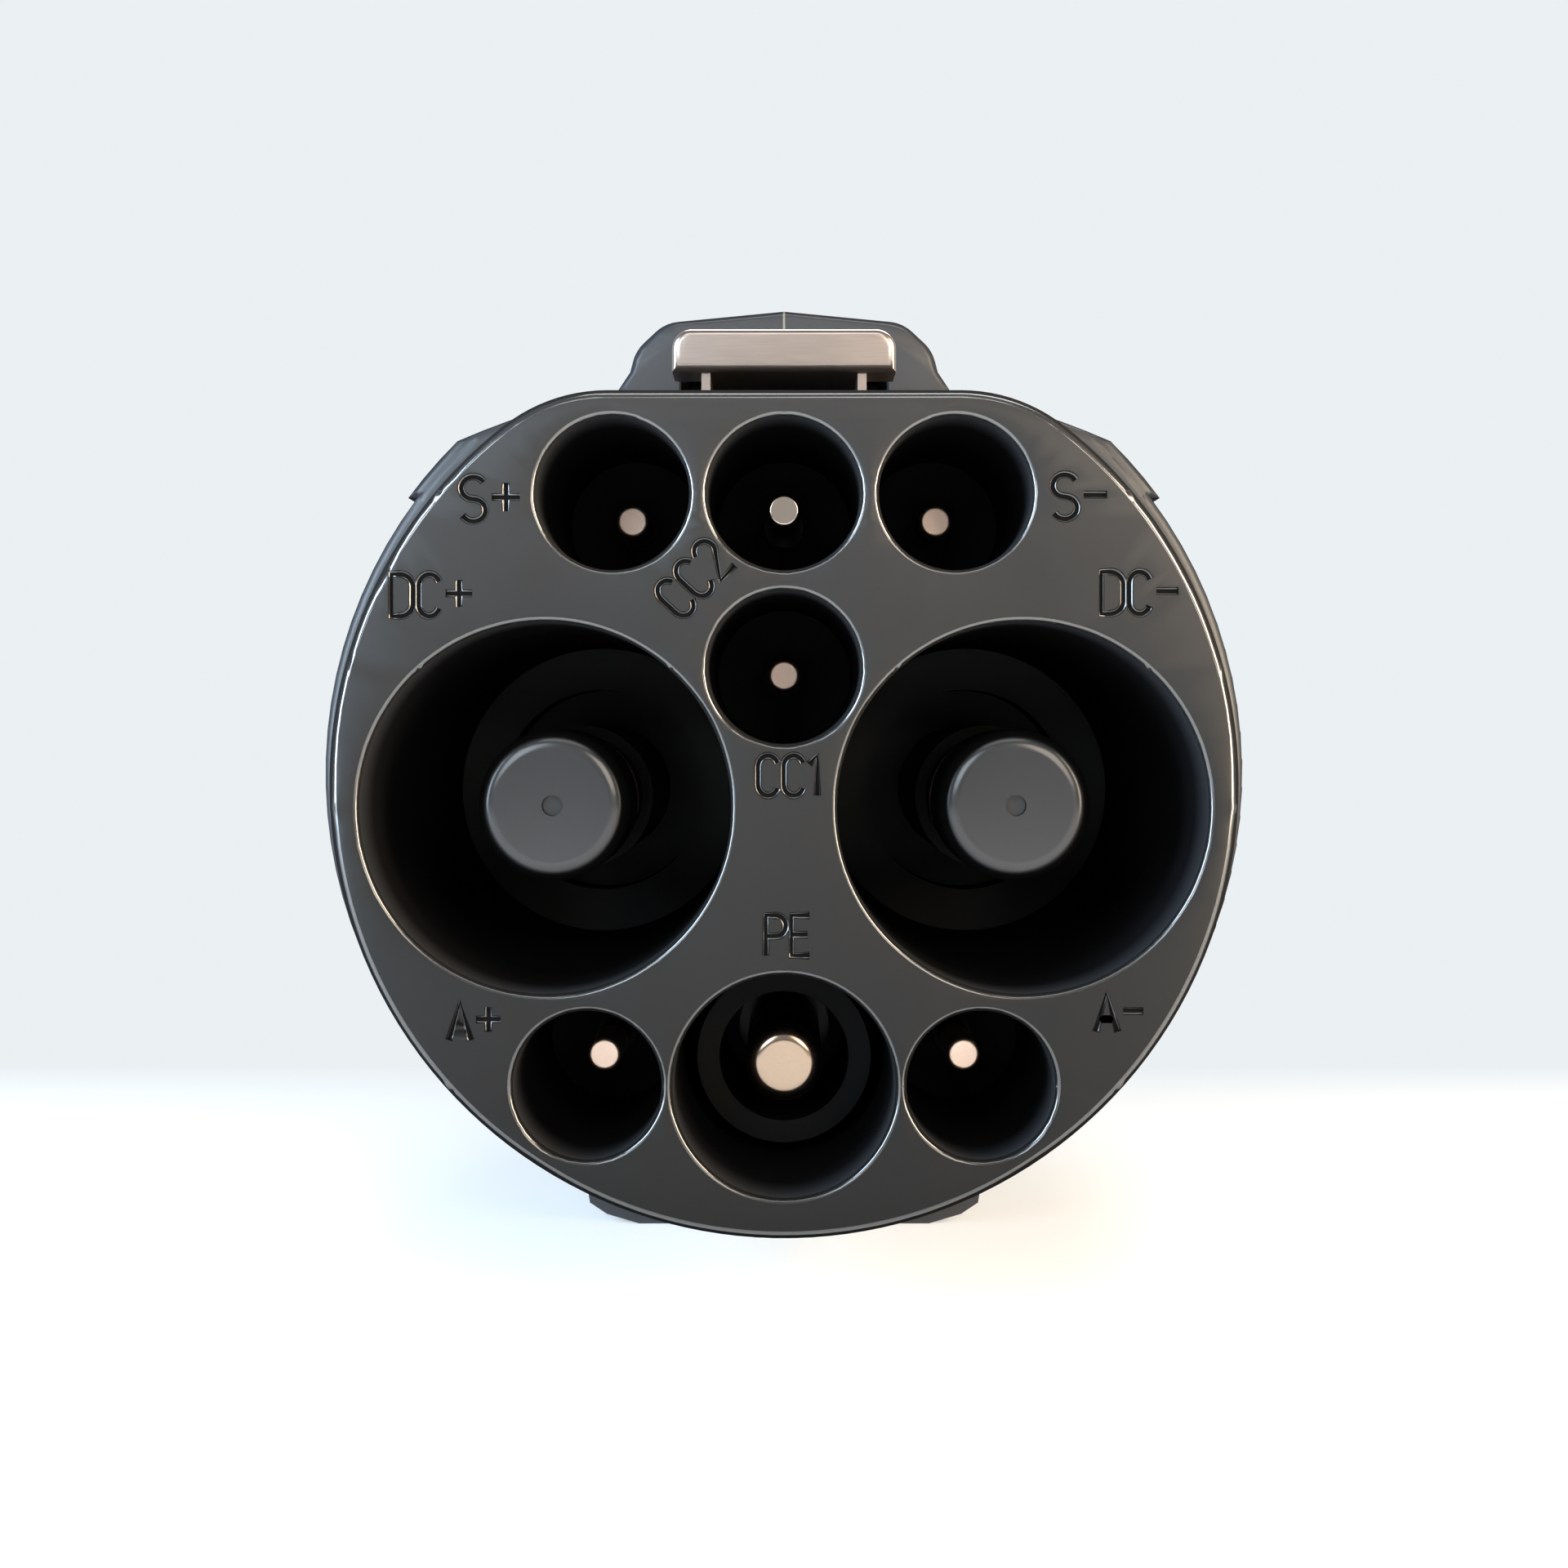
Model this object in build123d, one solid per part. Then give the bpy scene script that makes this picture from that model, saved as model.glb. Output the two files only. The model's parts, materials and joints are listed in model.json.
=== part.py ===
from build123d import *

import os
from math import hypot, radians, sin

# Charging plug for direct current, millimetres.
# Origin: centre of the mating face, on the head axis. +Y runs back into the plug, +Z is up.

# ---------------------------------------------------------------- driving dimensions
CLEAR = 0.05                # radial play of a fixed fit
RUN = 0.05                  # radial play of a running fit
GAP = 0.3                   # working gap between moving pieces

HEAD_R = 38.0               # round part of the head
HEAD_FLAT_Z = 32.9          # flat top of the head, under the latch
HEAD_CORNER_R = 14.0
HEAD_REACH = 36.0           # mating face to collar
CARRIER_LEN = 58.0
FACE_EDGE = 0.8
LIP = 0.4

DC_X = 19.9
DC_Z = -2.0
DC_SOCKET_R = 15.5
DC_FLOOR_Y = 45.0           # the holder behind the carrier closes the power sockets here
DC_WELL_R = 11.0
DC_WELL_DEPTH = 5.0
DC_PIN_R = 6.0
DC_SHOULDER_R = 7.0
DC_SHOULDER_Y = 25.0
DC_FLANGE_R = 10.0
DC_BARREL_R = 9.0
DC_CRIMP_R = 6.0
DC_BARREL_LEN = 26.0
CAP_TIP_Y = 4.5
CAP_R = 6.55
CAP_LEN = 9.0
CAP_NOSE = 1.7
CAP_STEM_R = 2.5
CAP_STEM_LEN = 8.0
CAP_DIMPLE_R = 0.9
CAP_DIMPLE_DEPTH = 0.4

PE_Z = -25.2
PE_SOCKET_R = 9.3
PE_FLOOR_Y = 30.0
PE_RING_R = 7.9             # insulating sleeve round the earth pin
PE_RING_BORE_R = 5.9
PE_RING_Y = 13.5
PE_RING_BASE = 2.5
PE_PIN_R = 3.5
PE_TIP_Y = 9.5
PE_NOSE = 1.5
PE_COLLAR_R = 4.5
PE_FLANGE_R = 7.5
PE_BARREL_R = 6.0
PE_CRIMP_R = 4.0
PE_BARREL_LEN = 18.0

SIGNAL_X = 14.3
SIGNAL_Z = 24.2
CC1_Z = 9.7
SIGNAL_SOCKET_R = 6.4
AUX_X = 16.4
AUX_Z = -25.1
AUX_SOCKET_R = 6.2
SMALL_FLOOR_Y = 24.0
SMALL_PIN_R = 1.5
SMALL_NOSE = 0.35
SMALL_COLLAR_R = 1.9
SMALL_FLANGE_R = 4.5
SMALL_BARREL_R = 3.5
SMALL_CRIMP_R = 2.0
SMALL_BARREL_LEN = 10.0
S_TIP_Y = 18.8
CC1_TIP_Y = 19.9
CC2_TIP_Y = 10.9
AUX_TIP_Y = 13.6
FLANGE_T = 3.0              # rear flange of every contact
CRIMP_FLOOR = 3.0           # solid metal between contact body and crimp bore

PLATE_T = 3.0
PLATE_R = 36.5
PLATE_FLAT_Z = 30.0
PLATE_SCREWS = ((27.0, 19.5), (28.5, -19.0))
PLATE_SCREW_R = 1.25
PLATE_SCREW_DEPTH = 20.0
PLATE_HEAD_R = 2.75
PLATE_HEAD_T = 2.0

COLLAR_R = 48.4
CROWN_R = 86.0              # flatter arc over the top of the collar
CROWN_TOP_Z = 42.2
COLLAR_LEN = 23.0
COLLAR_EDGE_R = 1.5
COLLAR_WALL = 3.0
FRONT_WALL = 3.5
RETAINER_T = 3.0            # backing ring of the seal, and the holder's flange behind it
RETAINER_STEP = 2.4         # its flat stands this far above the head flat
RIB_T = 3.0
RIB_R = 40.0

WALL = 2.6
BODY = (                    # y, centre z, half width, half height
    (57.0, -3.2, 46.6, 43.5),
    (85.0, -4.0, 42.0, 41.0),
    (115.0, -5.5, 33.0, 36.0),
    (145.0, -9.5, 26.0, 29.0),
    (178.0, -14.0, 22.0, 23.0),
    (215.0, -19.4, 21.4, 22.0),
    (240.0, -23.4, 22.6, 22.6),
)
REAR_WALL = 7.0

RIDGE_WALL = 2.4
RIDGE = (                   # y, half width, top z of the latch housing
    (36.0, 16.8, 48.6),
    (62.0, 16.6, 48.0),
    (88.0, 15.8, 45.0),
    (108.0, 14.2, 39.2),
    (144.0, 10.0, 17.0),
)
RIDGE_SHOULDER = (1.2, 4.1)     # in from the side, down from the top
RIDGE_EAVE = (4.3, 1.2)
RIDGE_WAIST = (0.6, 6.4)
RIDGE_FLARE = (-1.4, 9.4)
RIDGE_SHOULDER_R = 4.0
RIDGE_FRONT_R = 0.8
RIDGE_ROOT_Z = 4.0
HOOD_R = 49.1               # brow over the collar, a little proud of it
HOOD_BOTTOM_Z = 29.0
HOOD_LEN = 16.0
MOUTH_HALF = 11.0
MOUTH_TOP_Z = 45.4

FOOT_Z = -47.6
FOOT_END_Y = 94.0
FOOT_SECTION = ((21.5, 8.0), (20.5, 2.2), (18.7, 1.0), (15.3, 0.0))   # half width, height over the foot

PIVOT_Y = 74.0
PIVOT_Z = 33.0
PIVOT_R = 2.0
HUB_R = 5.0
LEVER_HALF = 7.9
LEVER_SHEET = 0.85
NOSE_Y = 20.0
NOSE_HALF = 10.7
NOSE_BOTTOM_Z = 38.7
NOSE_TOP_Z = 42.8
NOSE_DEPTH = 5.0
NOSE_CORNER_R = 1.9
NOSE_EDGE_R = 0.8
ARM_TOP_Z = 40.2
LEG_GAP = 0.5               # leg ends over the head flat
LEG_END_Y = 38.0
ARM_BOTTOM_Z = 36.2
ARM_END_Y = 62.0
TAIL_END_Y = 113.0
TAIL_END_Z = 14.6
TAIL_T = 4.0
TAIL_HALF = 6.0
LUG_Y = 117.0
LUG_Z = 12.4
LUG_T = 1.2
LATCH_LIFT = 7.0            # degrees

BUTTON_Y = 106.0
BUTTON_W = 12.0
BUTTON_L = 18.0
BUTTON_CORNER_R = 4.0
BUTTON_PROUD = 4.8
BUTTON_SLOPE = -0.42
BUTTON_FLANGE = 1.2
BUTTON_FLANGE_Z = 29.6
BUTTON_FLANGE_T = 1.8
BUTTON_STEM_R = 3.0
PAD_Z = 21.5
PAD_HALF = 4.0
SEAL_RING = 1.0             # width of the rubber lip round the button

SPRING_Y = 104.0
SPRING_HALF = 3.0
SPRING_T = 0.5
SPRING_ARM = 3.5            # straight top arm behind the bend
SPRING_FOOT = 9.0
SPRING_SEAT_R = 3.6
SPRING_TOP_Z = 14.6

PLUNGER_R = 1.25
PLUNGER_TIP_Y = 119.0
PLUNGER_LEN = 19.0
PLUNGER_TRAVEL = 4.5
COIL_HALF = 6.5
COIL_HEIGHT = 12.0
COIL_Y = 122.0
COIL_LEN = 20.0

TRAY_Y = 86.0
TRAY_END_Y = 144.0
TRAY_HALF = 16.0
TRAY_T = 2.0
CHEEK_T = 2.0
CHEEK_H = 9.0
LEDGE_Y = (90.0, 134.0)
LEDGE_LEN = 5.0
LEDGE_H = 7.0
LEDGE_X = 10.0
TRAY_SCREW_X = 13.0

BOARD_T = 1.6
BOARD_Z = 9.9
BOARD_HALF = 12.0
BOARD_LEN = 9.5
PEDESTAL_HALF = 9.0
SWITCH_W = 12.8
SWITCH_L = 5.8
SWITCH_H = 6.5
SWITCH_Y = 90.0
SWITCH_PIN_R = 1.2
SWITCH_PIN_IN = 2.0         # pin length inside the switch
SWITCH_TRAVEL = 3.0

HOUSING_SCREWS = (           # y, z
    (68.0, -39.5), (112.0, -33.0), (90.0, 37.0), (150.0, 8.0), (186.0, -1.5), (186.0, -28.0),
)
BOSS_R = 4.8
SCREW_SEAT_X = 9.0
SCREW_REACH_X = 10.0
SCREW_R = 1.5
SCREW_HEAD_R = 2.75
SCREW_HEAD_T = 2.2

CABLE_R = 15.5              # bore for the cable
GLAND_R = 17.5
GLAND_FLANGE_R = 18.9
GLAND_FLANGE_T = 4.0
WASHER_T = 2.0
NUT_FLATS = 48.4
NUT_LEN = 24.0
NUT_LIP = 4.0
GLAND_SEAL_T = 5.0
CLAMP_Y = 204.0
CLAMP_LEN = 9.0
CLAMP_R = 12.2
CLAMP_T = 2.0
CLAMP_EAR = 5.9
CLAMP_EAR_T = 3.0
CLAMP_HEAD_R = 2.0
CLAMP_HEAD_T = 1.5
CLAMP_SCREW_OUT = 4.1       # screw centre beyond the clamp bore


# ---------------------------------------------------------------- helpers
def section(y):
    """Plane across the plug at depth y: local x is X, local y is Z."""
    return Plane(origin=(0, y, 0), x_dir=(1, 0, 0), z_dir=(0, -1, 0))


def prism(sketch, y0, y1):
    """Sketch drawn in X and Z, extruded along Y from y0 to y1."""
    return extrude(section(y0) * sketch, amount=y1 - y0, dir=(0, 1, 0))


def rod(x, z, r, y0, y1):
    return prism(Pos(x, z) * Circle(r), y0, y1)


def cross_rod(y, z, r, x0, x1):
    """Cylinder along X."""
    return Pos(x0, y, z) * Rot(0, 90, 0) * Cylinder(r, x1 - x0, align=(Align.CENTER, Align.CENTER, Align.MIN))


def post(x, y, r, z0, z1):
    """Cylinder along Z."""
    return Pos(x, y, z0) * Cylinder(r, z1 - z0, align=(Align.CENTER, Align.CENTER, Align.MIN))


def block(x0, x1, y0, y1, z0, z1):
    return Pos(x0, y0, z0) * Box(x1 - x0, y1 - y0, z1 - z0, align=(Align.MIN, Align.MIN, Align.MIN))


def profile(points, x0, x1):
    """Outline drawn in Y and Z, extruded along X from x0 to x1."""
    face = make_face(Polyline(*[(x0, y, z) for y, z in points], close=True))
    return extrude(face, amount=x1 - x0, dir=(1, 0, 0))


def turned(points, x, z, nose=None, nose_r=0.0):
    """Piece turned about a line along Y; points are (radius, y), the point named nose is rounded."""
    face = make_face(Polyline(*points, close=True))
    if nose_r:
        corner = face.vertices().sort_by_distance((nose[0], nose[1], 0))[0]
        face = fillet(corner, nose_r)
    return Pos(x, 0, z) * revolve(face, Axis.Y)


def d_shape(r, flat_z, corner_r=0.0):
    """Disc with a flat top."""
    shape = Circle(r) - Pos(0, flat_z + r) * Rectangle(2 * r, 2 * r)
    return fillet(shape.vertices(), corner_r) if corner_r else shape


def collar_shape(inset=0.0):
    """Round collar under a flatter crown."""
    return Circle(COLLAR_R - inset) & (Pos(0, CROWN_TOP_Z - CROWN_R) * Circle(CROWN_R - inset))


def body_loft(inset=0.0):
    return loft([section(y) * Pos(0, z) * Ellipse(a - inset, b - inset) for y, z, a, b in BODY])


def ridge_section(y, half, top, shoulder_r):
    """Roof-shaped outline: flared foot, straight side, rounded shoulder and a slight apex."""
    corners = [(half - x, top - z) for x, z in (RIDGE_FLARE, RIDGE_WAIST, RIDGE_SHOULDER, RIDGE_EAVE)]
    side = [(half - RIDGE_FLARE[0], RIDGE_ROOT_Z)] + corners
    line = side + [(0, top)] + [(-x, z) for x, z in reversed(side)]
    face = make_face(Polyline(*line, close=True))
    round_z = (top - RIDGE_WAIST[1] + 1, top - RIDGE_EAVE[1] + 0.5)
    shoulders = [v for v in face.vertices() if round_z[0] < v.Y < round_z[1]]
    return section(y) * fillet(shoulders, shoulder_r)


def ridge_loft(inset=0.0):
    stations = [ridge_section(y, half - inset, top - inset, RIDGE_SHOULDER_R - inset) for y, half, top in RIDGE]
    return loft(stations, ruled=True)


def rounded_box(w, length, r, y, z0, z1):
    """Rounded rectangle in X and Y, extruded along Z."""
    return extrude(Pos(0, y, z0) * RectangleRounded(w, length, r), amount=z1 - z0)


# ---------------------------------------------------------------- derived places
COLLAR_Y = HEAD_REACH
COLLAR_END_Y = COLLAR_Y + COLLAR_LEN
SEAL_Y = COLLAR_Y + FRONT_WALL
RETAINER_Y = DC_FLOOR_Y - RETAINER_T
RETAINER_END_Y = DC_FLOOR_Y + RETAINER_T
PLATE_Y = CARRIER_LEN
REAR_Y = BODY[-1][0]
REAR_Z = BODY[-1][1]
WALL_Y = REAR_Y - REAR_WALL
DC_WEB_Y = DC_FLOOR_Y + DC_WELL_DEPTH
FLANGE_Y = CARRIER_LEN - FLANGE_T
TRAY_TOP_Z = LUG_Z - GAP - PLUNGER_R - COIL_HEIGHT / 2
PLUNGER_Z = TRAY_TOP_Z + COIL_HEIGHT / 2
TAIL_SLOPE = (TAIL_END_Z - PIVOT_Z) / (TAIL_END_Y - PIVOT_Y)
TAIL_DROP = TAIL_T / 2 * hypot(1, TAIL_SLOPE)       # half thickness of the tail, measured along Z
ROOF_Z = RIDGE[3][2] + BUTTON_SLOPE * (BUTTON_Y - RIDGE[3][0])

SMALL = {                   # name: x, z, socket radius, tip depth
    "s_plus": (-SIGNAL_X, SIGNAL_Z, SIGNAL_SOCKET_R, S_TIP_Y),
    "s_minus": (SIGNAL_X, SIGNAL_Z, SIGNAL_SOCKET_R, S_TIP_Y),
    "cc1": (0, CC1_Z, SIGNAL_SOCKET_R, CC1_TIP_Y),
    "cc2": (0, SIGNAL_Z, SIGNAL_SOCKET_R, CC2_TIP_Y),
    "a_plus": (-AUX_X, AUX_Z, AUX_SOCKET_R, AUX_TIP_Y),
    "a_minus": (AUX_X, AUX_Z, AUX_SOCKET_R, AUX_TIP_Y),
}
DC = {"dc_positive": -DC_X, "dc_negative": DC_X}


def tail_z(y):
    """Middle of the lever's tail at depth y."""
    return PIVOT_Z + TAIL_SLOPE * (y - PIVOT_Y)


def roof_z(y):
    """Line that the button's top and its rubber lip follow."""
    return ROOF_Z + BUTTON_SLOPE * (y - BUTTON_Y)


# ---------------------------------------------------------------- head and contacts
def retainer_shape():
    """Outline of the seal, its backing ring and the holder's flange inside the collar."""
    flat_z = HEAD_FLAT_Z + RETAINER_STEP
    return collar_shape(COLLAR_WALL + CLEAR) & (Pos(0, flat_z - COLLAR_R) * Rectangle(2 * COLLAR_R, 2 * COLLAR_R))


def head_shape(grow=0.0):
    return d_shape(HEAD_R + grow, HEAD_FLAT_Z + grow, HEAD_CORNER_R + grow)


def contact_carrier():
    body = prism(head_shape(), 0, DC_FLOOR_Y)
    body = chamfer(body.faces().sort_by(Axis.Y)[0].edges(), FACE_EDGE)
    sockets = [(x, z, r, SMALL_FLOOR_Y, SMALL_COLLAR_R) for x, z, r, _ in SMALL.values()]
    sockets += [(0, PE_Z, PE_SOCKET_R, PE_FLOOR_Y, PE_COLLAR_R)]
    sockets += [(x, DC_Z, DC_SOCKET_R, DC_FLOOR_Y, DC_SHOULDER_R) for x in DC.values()]
    for x, z, r, floor_y, shank_r in sockets:
        body -= turned([(0, 0), (r + LIP, 0), (r, LIP), (r, floor_y), (0, floor_y)], x, z)
        if floor_y < DC_FLOOR_Y:
            body -= rod(x, z, shank_r + CLEAR, floor_y, DC_FLOOR_Y)
    for x, z in plate_screw_places():
        body -= rod(x, z, PLATE_SCREW_R, CARRIER_LEN - PLATE_SCREW_DEPTH, DC_FLOOR_Y)
    return body


def carrier_bands():
    """The carrier's moulding, divided level with the socket axes so that no band closes round a socket."""
    moulding = contact_carrier()
    levels = (HEAD_R, SIGNAL_Z, CC1_Z, DC_Z, PE_Z, -HEAD_R - 1)
    bands = [
        moulding & block(-HEAD_R - 1, HEAD_R + 1, -1, DC_FLOOR_Y + 1, low, high)
        for high, low in zip(levels, levels[1:])
    ]
    left, centre, right = bands[2].solids().sort_by(Axis.X)
    return {
        "carrier_top": bands[0],
        "carrier_upper": bands[1],
        "carrier_left": left,
        "carrier_centre": centre,
        "carrier_right": right,
        "carrier_middle": bands[3],
        "carrier_bottom": bands[4],
    }


def seal_backing_ring():
    return prism(retainer_shape() - head_shape(CLEAR), RETAINER_Y, DC_FLOOR_Y)


def contact_holder():
    """Rear insulator: it closes the power sockets and carries every contact's flange."""
    body = prism(head_shape(), DC_FLOOR_Y, CARRIER_LEN) + prism(retainer_shape(), DC_FLOOR_Y, RETAINER_END_Y)
    seats = [(x, z, SMALL_COLLAR_R, SMALL_FLANGE_R) for x, z, _, _ in SMALL.values()]
    seats += [(0, PE_Z, PE_COLLAR_R, PE_FLANGE_R)] + [(x, DC_Z, DC_SHOULDER_R, DC_FLANGE_R) for x in DC.values()]
    for x, z, shank_r, flange_r in seats:
        body -= rod(x, z, shank_r + CLEAR, DC_FLOOR_Y, FLANGE_Y) + rod(x, z, flange_r + CLEAR, FLANGE_Y, CARRIER_LEN)
    for x in DC.values():
        body -= rod(x, DC_Z, DC_WELL_R, DC_FLOOR_Y, DC_WEB_Y)
    for x, z in plate_screw_places():
        body -= rod(x, z, PLATE_SCREW_R, DC_FLOOR_Y, CARRIER_LEN)
    return body


def pe_sleeve():
    """Insulating sleeve that stands on the earth socket's floor."""
    base_y = PE_FLOOR_Y - PE_RING_BASE
    return turned([
        (PE_RING_BORE_R, PE_RING_Y), (PE_RING_R, PE_RING_Y), (PE_RING_R, base_y), (PE_SOCKET_R - CLEAR, base_y),
        (PE_SOCKET_R - CLEAR, PE_FLOOR_Y), (PE_RING_BORE_R, PE_FLOOR_Y),
    ], 0, PE_Z)


def plate_screw_places():
    return [(side * x, z) for x, z in PLATE_SCREWS for side in (-1, 1)]


def carrier_back_plate():
    plate = prism(d_shape(PLATE_R, PLATE_FLAT_Z), PLATE_Y, PLATE_Y + PLATE_T)
    holes = [(x, z, SMALL_BARREL_R) for x, z, _, _ in SMALL.values()]
    holes += [(0, PE_Z, PE_BARREL_R)] + [(x, DC_Z, DC_BARREL_R) for x in DC.values()]
    for x, z, r in holes:
        plate -= rod(x, z, r + GAP, PLATE_Y, PLATE_Y + PLATE_T)
    for x, z in plate_screw_places():
        plate -= rod(x, z, PLATE_SCREW_R + CLEAR, PLATE_Y, PLATE_Y + PLATE_T)
    return plate


def back_plate_screws():
    head_y = PLATE_Y + PLATE_T
    return Compound([
        rod(x, z, PLATE_SCREW_R, PLATE_Y - PLATE_SCREW_DEPTH + 1, head_y)
        + rod(x, z, PLATE_HEAD_R, head_y, head_y + PLATE_HEAD_T)
        for x, z in plate_screw_places()
    ])


def carrier_seal():
    return prism(retainer_shape() - head_shape(CLEAR), SEAL_Y, RETAINER_Y)


def dc_contact(x):
    end = CARRIER_LEN + DC_BARREL_LEN
    pin_y = CAP_TIP_Y + CAP_LEN
    bore_end = pin_y + CAP_STEM_LEN + CLEAR
    crimp_y = CARRIER_LEN + CRIMP_FLOOR
    return turned([
        (0, bore_end), (CAP_STEM_R + CLEAR, bore_end), (CAP_STEM_R + CLEAR, pin_y), (DC_PIN_R, pin_y),
        (DC_PIN_R, DC_SHOULDER_Y), (DC_SHOULDER_R, DC_SHOULDER_Y), (DC_SHOULDER_R, FLANGE_Y),
        (DC_FLANGE_R, FLANGE_Y), (DC_FLANGE_R, CARRIER_LEN), (DC_BARREL_R, CARRIER_LEN),
        (DC_BARREL_R, end), (DC_CRIMP_R, end), (DC_CRIMP_R, crimp_y), (0, crimp_y),
    ], x, DC_Z)


def dc_cap(x):
    back = CAP_TIP_Y + CAP_LEN
    return turned([
        (0, CAP_TIP_Y + CAP_DIMPLE_DEPTH), (CAP_DIMPLE_R, CAP_TIP_Y + CAP_DIMPLE_DEPTH),
        (CAP_DIMPLE_R, CAP_TIP_Y), (CAP_R, CAP_TIP_Y), (CAP_R, back), (CAP_STEM_R, back),
        (CAP_STEM_R, back + CAP_STEM_LEN), (0, back + CAP_STEM_LEN),
    ], x, DC_Z, (CAP_R, CAP_TIP_Y), CAP_NOSE)


def pe_contact():
    end = CARRIER_LEN + PE_BARREL_LEN
    crimp_y = CARRIER_LEN + CRIMP_FLOOR
    return turned([
        (0, PE_TIP_Y), (PE_PIN_R, PE_TIP_Y), (PE_PIN_R, PE_FLOOR_Y), (PE_COLLAR_R, PE_FLOOR_Y),
        (PE_COLLAR_R, FLANGE_Y), (PE_FLANGE_R, FLANGE_Y), (PE_FLANGE_R, CARRIER_LEN), (PE_BARREL_R, CARRIER_LEN),
        (PE_BARREL_R, end), (PE_CRIMP_R, end), (PE_CRIMP_R, crimp_y), (0, crimp_y),
    ], 0, PE_Z, (PE_PIN_R, PE_TIP_Y), PE_NOSE)


def small_contact(x, z, tip):
    end = CARRIER_LEN + SMALL_BARREL_LEN
    crimp_y = CARRIER_LEN + CRIMP_FLOOR
    return turned([
        (0, tip), (SMALL_PIN_R, tip), (SMALL_PIN_R, SMALL_FLOOR_Y), (SMALL_COLLAR_R, SMALL_FLOOR_Y),
        (SMALL_COLLAR_R, FLANGE_Y), (SMALL_FLANGE_R, FLANGE_Y), (SMALL_FLANGE_R, CARRIER_LEN),
        (SMALL_BARREL_R, CARRIER_LEN), (SMALL_BARREL_R, end), (SMALL_CRIMP_R, end), (SMALL_CRIMP_R, crimp_y),
        (0, crimp_y),
    ], x, z, (SMALL_PIN_R, tip), SMALL_NOSE)


def dc_temperature_sensors():
    """Thermistor saddles that sit on the crimp barrels."""
    y0 = CARRIER_LEN + PLATE_T + 6
    return Compound([
        block(x - 3, x + 3, y0, y0 + 8, DC_Z + DC_BARREL_R - 2, DC_Z + DC_BARREL_R + 3)
        - rod(x, DC_Z, DC_BARREL_R, y0, y0 + 8)
        for x in DC.values()
    ])


# ---------------------------------------------------------------- housing
def foot():
    side = [(x, FOOT_Z + h) for x, h in FOOT_SECTION]
    line = side + [(-x, z) for x, z in reversed(side)]
    return prism(make_face(Polyline(*line, close=True)), COLLAR_Y + COLLAR_EDGE_R, FOOT_END_Y)


def hood():
    brow = (Circle(HOOD_R) & (Pos(0, CROWN_TOP_Z - CROWN_R) * Circle(CROWN_R))) & (
        Pos(0, HOOD_BOTTOM_Z + HOOD_R) * Rectangle(2 * HOOD_R, 2 * HOOD_R))
    solid = prism(brow, COLLAR_Y + 0.5, COLLAR_Y + HOOD_LEN)
    return chamfer(solid.faces().sort_by(Axis.Y)[0].edges(), 0.6) - prism(Circle(COLLAR_R - 2), 0, REAR_Y)


def housing_outer():
    collar = prism(collar_shape(), COLLAR_Y, COLLAR_END_Y)
    collar = fillet(collar.faces().sort_by(Axis.Y)[0].edges(), COLLAR_EDGE_R)
    ridge = ridge_loft()
    ridge = chamfer(ridge.faces().sort_by(Axis.Y)[0].edges(), RIDGE_FRONT_R)
    outer = collar + hood() + body_loft() + ridge + foot()
    return outer - block(-60, 60, 0, REAR_Y + 1, FOOT_Z - 20, FOOT_Z)


def button_hole():
    w, length = BUTTON_W + 2 * (GAP + SEAL_RING), BUTTON_L + 2 * (GAP + SEAL_RING)
    return rounded_box(w, length, BUTTON_CORNER_R + GAP + SEAL_RING, BUTTON_Y, BUTTON_FLANGE_Z, NOSE_TOP_Z + 20)


def housing_cavity():
    big = prism(collar_shape(COLLAR_WALL), SEAL_Y, BODY[0][0])
    rib = prism(Circle(2 * COLLAR_R) - Circle(RIB_R), RETAINER_END_Y, RETAINER_END_Y + RIB_T)
    cavity = big - rib
    cavity += body_loft(WALL) & block(-60, 60, BODY[0][0], WALL_Y, -60, 60)
    ridge = ridge_loft(RIDGE_WALL)
    cavity += ridge & block(-60, 60, SEAL_Y, COLLAR_END_Y, HEAD_FLAT_Z, 60)
    cavity += ridge & block(-60, 60, COLLAR_END_Y, RIDGE[-1][0], RIDGE_ROOT_Z, 60)
    cavity += block(-MOUTH_HALF, MOUTH_HALF, COLLAR_Y - 1, COLLAR_END_Y, HEAD_FLAT_Z - 2, MOUTH_TOP_Z)
    cavity += prism(head_shape(CLEAR), COLLAR_Y - 1, SEAL_Y)
    cavity += rod(0, REAR_Z, GLAND_FLANGE_R + CLEAR, WALL_Y - GLAND_FLANGE_T, WALL_Y)
    return cavity + button_hole() + rod(0, REAR_Z, GLAND_R + CLEAR, WALL_Y, REAR_Y + 1)


def housing_inner_posts():
    """Screw wells, pivot bosses, tray ledges, gland stop and the cable saddle."""
    span = 60
    posts = cross_rod(PIVOT_Y, PIVOT_Z, HUB_R, LEVER_HALF + GAP, span)
    posts += cross_rod(PIVOT_Y, PIVOT_Z, HUB_R, -span, -LEVER_HALF - GAP)
    for y, z in HOUSING_SCREWS:
        posts += cross_rod(y, z, BOSS_R, -span, span)
    for y in LEDGE_Y:
        for x0, x1 in ((LEDGE_X, span), (-span, -LEDGE_X)):
            posts += block(x0, x1, y, y + LEDGE_LEN, TRAY_TOP_Z - TRAY_T - LEDGE_H, TRAY_TOP_Z - TRAY_T)
    stop_y = WALL_Y - GLAND_FLANGE_T
    posts += prism(Pos(0, REAR_Z) * Circle(span), stop_y - RIB_T, stop_y) - rod(
        0, REAR_Z, GLAND_R - 1, stop_y - RIB_T, stop_y)
    saddle = block(-span, 0, CLAMP_Y, CLAMP_Y + CLAMP_LEN, -60, 60)
    return posts + (saddle - rod(0, clamp_z(), CLAMP_R, CLAMP_Y, CLAMP_Y + CLAMP_LEN))


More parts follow.
